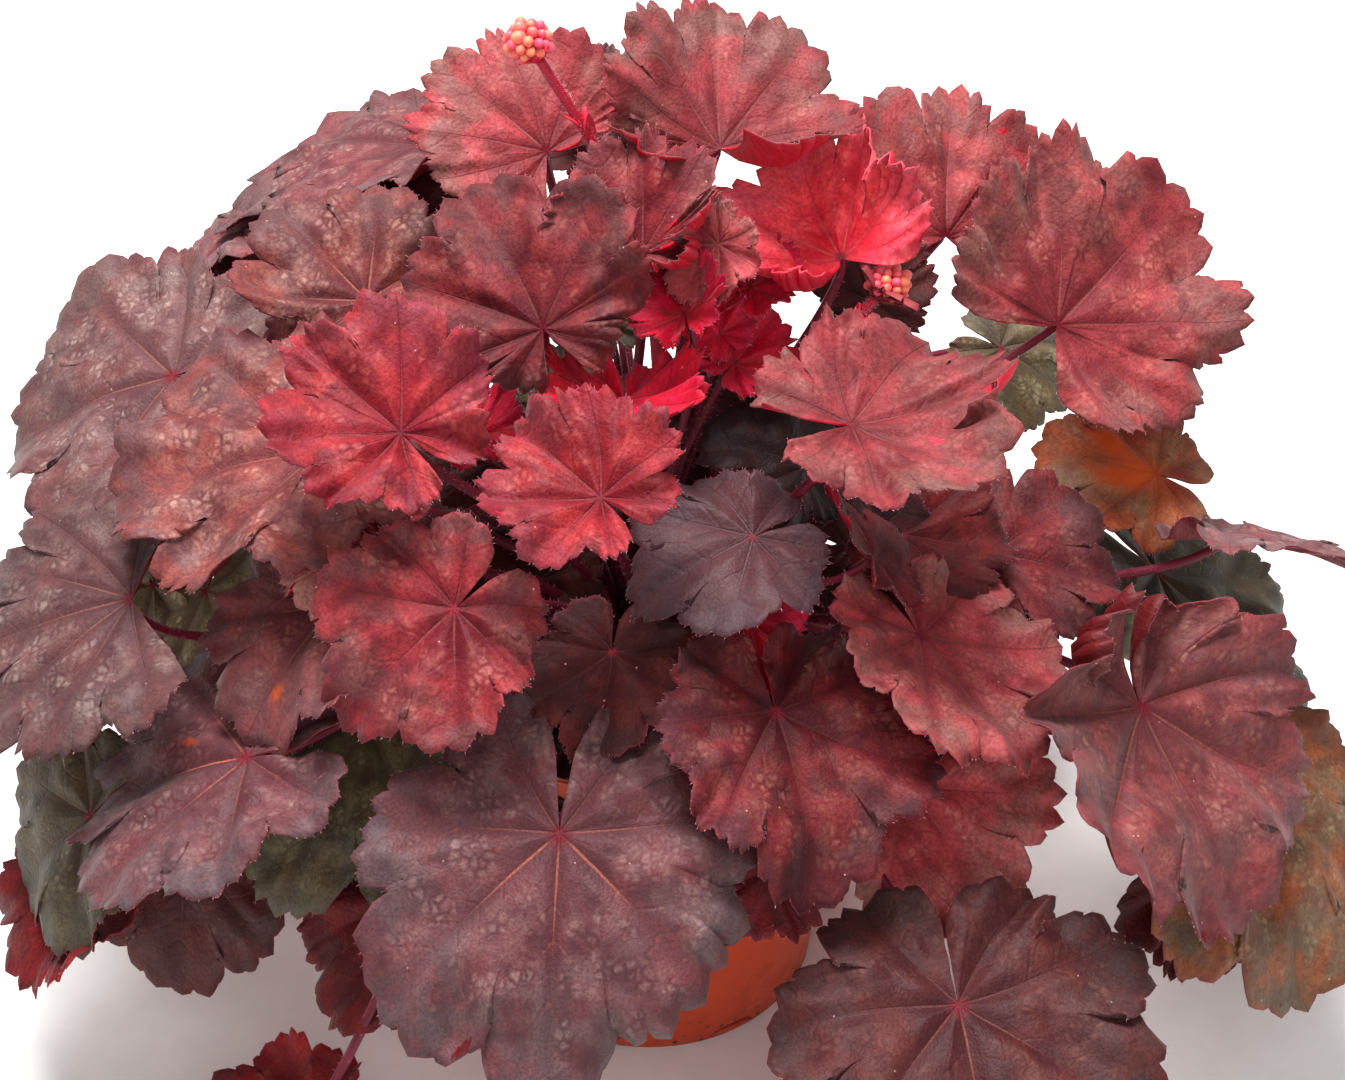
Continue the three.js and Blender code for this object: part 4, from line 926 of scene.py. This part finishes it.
def grow_blade(lump, leaf, axes):
    """The blade as one closed skin: upper side, lower side and rim. Returns its margin and the
    ways out of it, for hairs."""
    margin = margin_of(leaf)
    laps = margin[5]
    rings = LARGE_RINGS if leaf["size"] >= SMALL_BLADE else SMALL_RINGS
    kept = sorted(set(range(1, rings, 2)) | {rings - 1})
    shares = np.linspace(0, 1, rings + 1)[1:] ** 0.85
    sheet, grids = blade_sheet(leaf, margin, shares)
    _, _, beside, _, inward, reach, _ = grids

    # 0.4 mm thick at the edge and 0.8 mm inside, and up to 0.4 mm more over a vein.
    facing = np.cross(np.gradient(sheet, axis=0), np.gradient(sheet, axis=1))
    facing /= np.linalg.norm(facing, axis=-1)[..., None] + 1e-12
    thick = 0.4 + 0.4 * np.clip(inward / 6, 0, 1) + 0.4 * np.exp(-(beside / 0.9) ** 2) * (1 - 0.75 * reach)
    lower = sheet - facing * thick[..., None]

    # The joint comes first on each side. There the edge counts as one blade's size away.
    joint = np.array([0, 0, 0, 0, leaf["size"], 0, 0])[:, None]
    rows = []
    maps = []
    for side, picked, height in ((sheet, range(rings), -0.3), (lower, kept, -0.9)):
        rows += [[[0, 0, height]], side[picked].reshape(-1, 3)]
        maps += [joint, np.array([grid[picked].ravel() for grid in grids])]
    local = np.concatenate(rows)
    x, y, beside, beyond, inward, reach, ranks = np.concatenate(maps, axis=1)
    points = local @ np.array(axes) + np.array(leaf["at"], float)

    scar = np.zeros(len(points))
    for spot_x, spot_y, long, wide, turn in SCARS.get(leaf["name"], ()):
        c, s = math.cos(math.radians(turn)), math.sin(math.radians(turn))
        dx, dy = x - spot_x, y - spot_y
        away = np.hypot((dx * c + dy * s) / long, (dy * c - dx * s) / wide)
        scar = np.maximum(scar, np.clip(1.6 - away, 0, 1))

    seed = float(leaf["seed"])
    up, down = blade_faces(rings, kept, shares, laps, 1 + rings * len(laps))
    lump.take(points, up + down, [leaf["finish"]] * len(up) + [leaf["finish"] + 1] * len(down),
              plan=np.column_stack([x + 53.7 * seed, y + 31.3 * seed, np.full(len(x), seed)]),
              marks=np.column_stack([beside, beyond, inward]), reach=reach, scar=scar, rank=ranks,
              tone=np.full(len(x), leaf["tone"]))
    outer, inner = (1 + (rings - back) * len(laps) + np.arange(len(laps)) for back in (1, 3))
    return points[outer], points[outer] - points[inner]


# ---- the leaves ----------------------------------------------------------------------------


def on_crown(azimuth, elevation, lift, radius):
    """Where the middle of a stalk's foot lies, so that the foot clears the crown all round."""
    way = heading(azimuth, elevation)
    normal = unit(way / CROWN_SPREAD)
    dip = radius * math.sin(math.acos(clamp(normal.dot(lift), -1, 1)))
    return way * CROWN_SPREAD + CROWN_CENTRE + normal * (CLEARANCE + dip)


def stalk_path(leaf, axes, steps=26):
    """A stalk's curve from the crown to the joint of its blade, as in the part's source."""
    along, _, normal = axes
    joint = np.array(leaf["at"], float)
    out = joint - CROWN_CENTRE
    azimuth = leaf.get("starts", math.degrees(math.atan2(out[1], out[0])))
    climb = math.degrees(math.atan2(out[2], math.hypot(out[0], out[1])))
    rise = leaf.get("rise", clamp(STALK_BASE_RISE + climb * STALK_RISE_GAIN, *STALK_RISE_RANGE))
    lift = heading(azimuth, clamp(rise + STALK_LIFT, *STALK_LIFT_RANGE))
    start = on_crown(azimuth, rise, lift, leaf["stalk"])
    length = np.linalg.norm(joint - start)
    arch = np.array([0, 0, leaf.get("arch", 0.0)])
    first = start + lift * length * STALK_FIRST_PULL + arch
    upper = clamp((joint[2] - 100) / 80, 0, 1)
    last = joint - normal * length * (0.1 + 0.14 * upper) - along * length * (0.26 - 0.2 * upper) + arch
    last[2] -= leaf.get("dip", 0)
    end = joint - normal * 0.75 + along * leaf["size"] * 0.05
    t = np.linspace(0, 1, steps)[:, None]
    return (1 - t) ** 3 * start + 3 * (1 - t) ** 2 * t * first + 3 * (1 - t) * t ** 2 * last + t ** 3 * end


def add_down(lump, path, radii, count, length):
    """Soft hairs that stand off a stalk all round."""
    at = rng.uniform(0.02, 0.98, count) * (len(path) - 1)
    low = at.astype(int)
    share = (at - low)[:, None]
    centre = path[low] * (1 - share) + path[low + 1] * share
    way = unit(path[low + 1] - path[low])
    out = rng.normal(size=(count, 3))
    out = unit(out - way * np.sum(out * way, axis=1)[:, None])
    radius = np.interp(at, np.arange(len(radii)), radii)[:, None]
    points, faces = spikes(centre + out * radius * 0.9, out + way * rng.uniform(-0.2, 0.6, (count, 1)),
                           rng.uniform(0.5, 1.0, count) * length, 0.085)
    lump.take(points, faces, DOWN_FINISH)


def add_fringe(lump, margin, outward, normal, count):
    """Short hairs along the edge of a blade."""
    picked = rng.integers(0, len(margin), count)
    spread = rng.normal(size=(count, 3)) * 0.35
    way = unit(outward[picked]) + spread
    points, faces = spikes(margin[picked] - normal * 0.2, way, rng.uniform(0.5, 1.3, count), 0.07)
    lump.take(points, faces, DOWN_FINISH)


# Each leafy piece has the stalks' skin and the down first, and then two skins for each leaf.
STALK_FINISH, DOWN_FINISH = 0, 1
STALK_SIDES = 10
STALK_HAIRS = 150
STALK_HAIR_LENGTH = 1.6
FRINGE_HAIRS, SMALL_FRINGE_HAIRS = 240, 170

grown = {}
for row, (name, age, at, faces, points_to, size, skin, own) in enumerate(LEAVES):
    leaf = {"name": name, "at": at, "faces": faces, "points": points_to, "size": size, "seed": row + 1,
            "stalk": SPROUT_STALK_RADIUS if size < SPROUT_SIZE else STALK_RADIUS, "habit": HABITS[age],
            "opens": 5, "rolls": (), "creases": (), "under": age, "tone": 0, **FINE_HABITS[age], **own}
    if name not in grown:
        grown[name] = (Lump(), [STALK, DOWN], age)
    lump, finishes, _ = grown[name]
    leaf["finish"] = len(finishes)
    finishes += [SKINS[skin], UNDERSIDES[leaf["under"]]]
    for k in range(3):
        ray, depth, spread = (draw(row, first + k) for first in CREASE_DRAWS)
        crease = (300 * ray - 150, leaf["crease"] * (2 * depth - 1), 0.22 + 0.2 * spread)
        leaf["creases"] = [*leaf["creases"], crease]
    axes = along, across, normal = blade_axes(leaf)
    c, s = (f(math.radians(leaf.get("turn", 0))) for f in (math.cos, math.sin))
    margin, outward = grow_blade(lump, leaf, (along * c + across * s, across * c - along * s, normal))
    path = stalk_path(leaf, axes)
    radii = leaf["stalk"] * np.linspace(1.12, 0.86, len(path))
    radii[[0, -2, -1]] *= (1.2, 1.05, 0.5)
    points, faces, marks = tube(path, radii, STALK_SIDES)
    lump.take(points, faces, STALK_FINISH, marks=marks)
    add_down(lump, path, radii, STALK_HAIRS, STALK_HAIR_LENGTH)
    add_fringe(lump, margin, outward, normal, FRINGE_HAIRS if size >= SMALL_BLADE else SMALL_FRINGE_HAIRS)

for name, (lump, finishes, age) in grown.items():
    lump.piece(name + "_grown", finishes, "leaf_" + age, name)

# ---- flowering stalks and their heads of buds ----------------------------------------------

FLOWER_FOOT_RADIUS = 1.6
FLOWER_HAIRS = 1500
BUDS = 40
HEAD_BRACTS = 9
GOLDEN_ANGLE = math.pi * (3 - math.sqrt(5))
# The bracts up a stalk: how far up, azimuth, and length.
STALK_BRACTS = ((0.8, -30, 7.5), (0.82, 20, 6), (0.84, 200, 5))
BRACT_THICKNESS = 0.4


def smooth_path(knots, steps):
    """A centripetal Catmull-Rom curve through the knots, as in the part's source."""
    knots = [np.array(k, float) for k in knots]
    knots = [2 * knots[0] - knots[1]] + knots + [2 * knots[-1] - knots[-2]]
    path = []
    for i in range(1, len(knots) - 2):
        p0, p1, p2, p3 = knots[i - 1:i + 3]
        d1, d2, d3 = (np.linalg.norm(b - a) ** 0.5 for a, b in ((p0, p1), (p1, p2), (p2, p3)))
        m1 = (p1 - p0) / d1 - (p2 - p0) / (d1 + d2) + (p2 - p1) / d2
        m2 = (p2 - p1) / d2 - (p3 - p1) / (d2 + d3) + (p3 - p2) / d3
        m1, m2 = m1 * d2, m2 * d2
        last = i == len(knots) - 3
        for t in np.linspace(0, 1, steps, endpoint=last):
            path.append((2 * t ** 3 - 3 * t ** 2 + 1) * p1 + (t ** 3 - 2 * t ** 2 + t) * m1
                        + (-2 * t ** 3 + 3 * t ** 2) * p2 + (t ** 3 - t ** 2) * m2)
    return np.array(path)


def bud(lump, centre, way, radius, ripeness):
    """One ovoid bud of five scales, with its tip towards way."""
    way = unit(way)
    side = unit(np.cross(way, [0.2, 0.5, 0.8]))
    other = np.cross(way, side)
    around, rows = 15, 9
    points, marks = [centre - way * radius * 1.1], [(ripeness, 0, 0)]
    for j in range(1, rows):
        polar = math.pi * j / rows
        for k in range(around):
            a = 2 * math.pi * k / around
            seam = 1 - 0.09 * abs(math.cos(2.5 * a)) ** 6 * math.sin(polar)
            ring = radius * math.sin(polar) * seam
            lift = -radius * math.cos(polar) * 1.12
            points.append(centre + way * lift + ring * (math.cos(a) * side + math.sin(a) * other))
            marks.append((ripeness, j / rows, 0))
    points.append(centre + way * radius * 1.2)
    marks.append((ripeness, 1, 0))
    rings = [range(1 + j * around, 1 + (j + 1) * around) for j in range(rows - 1)]
    lump.take(points, band_faces([[0], *rings, [len(points) - 1]]), BUD_FINISH, marks=marks)


def bract(lump, foot, way, face, length, finish_index):
    """A small pointed scale leaf, cupped round what it covers."""
    way = unit(way)
    across = unit(np.cross(face, way))
    face = np.cross(way, across)
    rows, columns = 9, 7
    points = []
    for thick in (0, -BRACT_THICKNESS):
        for t in (j / (rows - 1) for j in range(rows)):
            half = length * 0.3 * (math.sin(math.pi * min(0.97, t * 0.8 + 0.2)) ** 0.8) + 0.05
            for s in (2 * k / (columns - 1) - 1 for k in range(columns)):
                bulge = thick + length * (0.28 * t * t - 0.12 + 0.16 * s * s)
                points.append(foot + way * t * length + across * s * half + face * bulge)
    inside = rows * columns
    last = inside - columns
    faces = []
    for j in range(rows - 1):
        for k in range(columns - 1):
            a = j * columns + k
            quad = (a, a + 1, a + columns + 1, a + columns)
            faces += [quad, tuple(i + inside for i in quad[::-1])]
    rim = list(range(columns)) + [j * columns + columns - 1 for j in range(1, rows)]
    rim += [last + k for k in range(columns - 2, -1, -1)] + [j * columns for j in range(rows - 2, 0, -1)]
    faces += [(a, a + inside, b + inside, b) for a, b in zip(rim, rim[1:] + rim[:1])]
    lump.take(points, faces, finish_index)


# The finishes of a head are the buds', their stems', the bracts' and the core's. Those of a
# flowering stalk are its skin, the down and the bracts'.
BUD_FINISH, STEM_FINISH, BRACT_FINISH, CORE_FINISH = range(4)

for stalk_name, head_name, starts, rise, through, head_at, head_radius, long_bract, bracts in FLOWER_STALKS:
    head_at = np.array(head_at, float)
    back = unit(np.array(through[-1], float) - head_at)
    foot = on_crown(starts, rise, np.array([0, 0, 1.0]), FLOWER_FOOT_RADIUS)
    path = smooth_path([foot] + through + [head_at + back * head_radius * 0.9], 14)
    radii = np.linspace(1.9, 1.35, len(path))
    stalk = Lump()
    points, faces, marks = tube(path, radii, 14)
    stalk.take(points, faces, STALK_FINISH, marks=marks)
    add_down(stalk, path, radii, FLOWER_HAIRS, 1.5)
    for share, azimuth, long in STALK_BRACTS:
        at = int(share * (len(path) - 1))
        way = unit(path[at + 1] - path[at])
        out = heading(azimuth, 0)
        out = unit(out - way * out.dot(way))
        bract(stalk, path[at] + out * 1.1, way + out * 0.12, out, long, BRACT_FINISH)
    stalk.piece(stalk_name + "_grown", [FLOWER_STALK, DOWN, UNDERSIDES["young"]], "flower_stalk", stalk_name)

    head = Lump()
    swelling = np.sin(np.linspace(0.15, 3.1, 12)) * head_radius * 0.72 + 0.2
    core_path = head_at + np.outer(np.linspace(1, -0.72, 12), back) * head_radius
    points, faces, _ = tube(core_path, swelling, 16)
    head.take(points, faces, CORE_FINISH)
    forward = -back
    side = unit(np.cross(forward, [0.1, 0.9, 0.3]))
    for i in range(BUDS):
        level = 1 - 1.75 * (i + 0.5) / BUDS
        out = math.sqrt(1 - level * level)
        turn = i * GOLDEN_ANGLE
        way = out * math.cos(turn) * side + out * math.sin(turn) * np.cross(forward, side) + level * forward
        radius = head_radius * (0.2 + 0.13 * draw(7, i))
        spot = head_at + way * (1, 1, 0.8) * head_radius * (0.82 + 0.2 * draw(9, i))
        bud(head, spot, way + 0.2 * rng.normal(size=3), radius, float(draw(11, i)) ** 2)
        points, faces, marks = tube(np.linspace(head_at + back * 1.5, spot, 5), [0.55] * 5, 8)
        head.take(points, faces, STEM_FINISH, marks=marks)
    for k in range(HEAD_BRACTS):
        out = heading(360 / HEAD_BRACTS * k, 0)
        out = unit(out - back * out.dot(back))
        bract(head, head_at + back * head_radius * 0.95 + out * 1.0, out * 0.8 - back * 0.7, out,
              long_bract * (1 - 0.4 * draw(13, k)), BRACT_FINISH)
    head.piece(head_name + "_grown", [BUD, FLOWER_STALK, UNDERSIDES[bracts], BUD_CORE], "buds", head_name)

# ---- pot -----------------------------------------------------------------------------------


def turned(profile, sides, wobble=None):
    """A profile of (radius, height) turned about the upright axis, closed where it meets the axis."""
    points, rings = [], []
    for r, z in profile:
        count = sides if r else 1
        rings.append(range(len(points), len(points) + count))
        for a in (2 * math.pi * k / count for k in range(count)):
            move = wobble(r, a, z) if wobble and r else 0
            points.append(((r + move) * math.cos(a), (r + move) * math.sin(a), z))
    return np.array(points, float), band_faces(rings)


def wall(z):
    """The outer radius of the pot's wall."""
    return POT_FOOT + (POT_SHOULDER_RADIUS - POT_FOOT) * z / POT_SHOULDER


# From the middle of the floor's underside by way of the foot, the wall, the stepped collar, the
# rim and the inner wall to the middle of the floor.
pot_profile = [(0, 0.9), (43, 0.9), (44.5, 0.5), (46, 0), (48.6, 0), (49.6, 0.35), (50.15, 1.2)]
pot_profile += [(wall(z), z) for z in (6, 14, 26, 40, 54, 68, 80, 92, 100, 105.4)]
pot_profile += [(62.0, 106.4), (63.0, 106.7), (63.8, 107.0), (64.1, 107.6), (64.4, 111), (64.7, 115)]
pot_profile += [(POT_RIM, 118.4), (POT_RIM, 119.3), (64.7, 119.8), (64.2, POT_HEIGHT), (63.7, 119.9)]
pot_profile += [(63.3, 119.4), (63.1, 118.4), (62.6, 112), (62.2, 108.8), (61.4, 107.8), (60.2, 106.4)]
pot_profile += [(59.6, 103)]
pot_profile += [(wall(z) - POT_WALL, z) for z in (92, 70, 48, 26, 10, 4.4)]
pot_profile += [(47.4, 2.8), (46, 2.4), (20, 2.4), (0, 2.4)]
pot_points, pot_faces = turned(pot_profile, 120)
pot_lump = Lump()
pot_lump.take(pot_points, pot_faces, 0)
pot = pot_lump.piece("pot_moulded", [POT_PLASTIC], None)

# The drainage slots are half round, and are cut from 42 to 58 mm off the axis.
SLOT_SIDES = 28
slot_angles = np.linspace(0, 2 * math.pi, SLOT_SIDES, endpoint=False)
slot_points = np.array([(DRAIN_HALF_WIDTH * math.cos(a), y, DRAIN_HEIGHT * math.sin(a))
                        for y in (42, 58) for a in slot_angles])
near, far = numbered(2, SLOT_SIDES)
slot_faces = band_faces([near, far]) + [tuple(near)[::-1], tuple(far)]
for i in range(DRAIN_SLOTS):
    a = 2 * math.pi * (i + 0.5) / DRAIN_SLOTS
    spin = np.array([[math.cos(a), math.sin(a), 0], [-math.sin(a), math.cos(a), 0], [0, 0, 1]])
    cutter = Lump()
    cutter.take(slot_points @ spin, slot_faces, 0)
    tool = cutter.piece("slot_cutter", [POT_PLASTIC], None)
    cut = pot.modifiers.new("slot", "BOOLEAN")
    cut.object = tool
    cut.operation = "DIFFERENCE"
    cut.solver = "EXACT"
    bpy.context.view_layer.update()
    carved = bpy.data.meshes.new_from_object(pot.evaluated_get(bpy.context.evaluated_depsgraph_get()))
    pot.modifiers.clear()
    pot.data = carved
    bpy.data.objects.remove(tool)
for polygon in pot.data.polygons:
    polygon.use_smooth = True
pot.data.set_sharp_from_angle(angle=math.radians(40))
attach(pot, "root")
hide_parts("pot")

# ---- soil and crown ------------------------------------------------------------------------

SOIL_GAP = 2.4
SOCKET_RADIUS = 20.4
SOCKET_FOOT_RADIUS = 18
CRUMBS = 1100
PERLITE_EVERY = 16
# One crumb: seven corners, moved in and out at random, and its ten faces.
CRUMB = np.array([(1, 0, -0.7), (-0.5, 0.87, -0.7), (-0.5, -0.87, -0.7),
                  (0.6, 0.8, 0.4), (-1, 0, 0.4), (0.6, -0.8, 0.4), (0, 0, 1)])
CRUMB_FACES = [(0, 2, 1), (0, 1, 3), (1, 4, 3), (1, 2, 4), (2, 5, 4), (2, 0, 5), (0, 3, 5), (3, 4, 6),
               (4, 5, 6), (5, 3, 6)]


def compost(r, a):
    """A point on the compost: crowned towards the middle, sunk along the wall, and uneven."""
    x, y = r * np.cos(a), r * np.sin(a)
    crowning = 3 * np.clip((60 - r) / 38, 0, 1) - 2 * np.clip((r - 50) / 9.4, 0, 1)
    crumbled = 0.32 * waves(x, y, [(61, 0), (62, 0), (63, 0)], 9, 4, 14)
    return np.stack([x, y, SOIL_TOP + crowning + crumbled], axis=-1)


soil = Lump()
around = 140
a = np.linspace(0, 2 * math.pi, around, endpoint=False)
rings = [compost(r, a) - (0, 0, 0.6) for r in np.linspace(SOCKET_RADIUS, 59.4, 34)]
below = [(wall(z) - SOIL_GAP, z) for z in (100, 60, SOIL_BOTTOM)]
below += [(SOCKET_FOOT_RADIUS, SOIL_BOTTOM), (SOCKET_FOOT_RADIUS, 86.5), (SOCKET_RADIUS, 92)]
rings += [np.column_stack([r * np.cos(a), r * np.sin(a), np.full(around, z)]) for r, z in below]
numbers = numbered(len(rings), around)
faces = [(first, *others[::-1]) for first, *others in band_faces(numbers + numbers[:1])]
soil.take(np.concatenate(rings), faces, 0)
for i in range(CRUMBS):
    r, a = 22 + 36.5 * math.sqrt(rng.random()), 2 * math.pi * rng.random()
    size = rng.uniform(0.5, 1.7)
    corners = CRUMB * size * rng.uniform(0.6, 1.2, (len(CRUMB), 1)) + compost(r, a) - (0, 0, 0.5)
    soil.take(corners, CRUMB_FACES, int(i % PERLITE_EVERY == 0))
soil.piece("compost_filled", [PEAT, PERLITE], "soil", "soil", smooth=False)

LEAF_BASES = 46
LEAF_BASE_TURN = 137.5


def bark_relief(r, a, z):
    """How far the bark stands out of the crown's form, in mm."""
    return -0.45 + 0.5 * math.sin(9 * a + z * 0.8) * math.sin(z * 0.9 + 4 * a) * min(1, r / 6)


crown = Lump()
dome = [(0, 86.4), (15, 86.4), (19, 90), (20.6, 94), (20.9, 101)]
dome += [(20.8 * math.cos(a), 108 + 15 * math.sin(a)) for a in np.linspace(0, math.pi / 2, 16)[:-1]]
dome += [(0, 123)]
crown_points, crown_faces = turned(dome, 64, bark_relief)
crown.take(crown_points, crown_faces, 0)
for i in range(LEAF_BASES):
    azimuth, rise = LEAF_BASE_TURN * i, 6 + 66 * (i / LEAF_BASES)
    way = heading(azimuth, rise)
    foot = CROWN_CENTRE + way * CROWN_SPREAD * 0.96
    bract(crown, foot, heading(azimuth, min(88, rise + 38)), -way, 5.5 + 2.5 * float(draw(71, i)), 1)
crown.piece("crown_stock", [BARK, SCALE], "crown", "crown")

# ---- floor ---------------------------------------------------------------------------------

floor = Lump()
floor.take([(-4000, -4000, 0), (4000, -4000, 0), (4000, 4000, 0), (-4000, 4000, 0)], [(0, 1, 2, 3)], 0)
floor.piece("studio_floor", [FLOOR_BOARD], None)
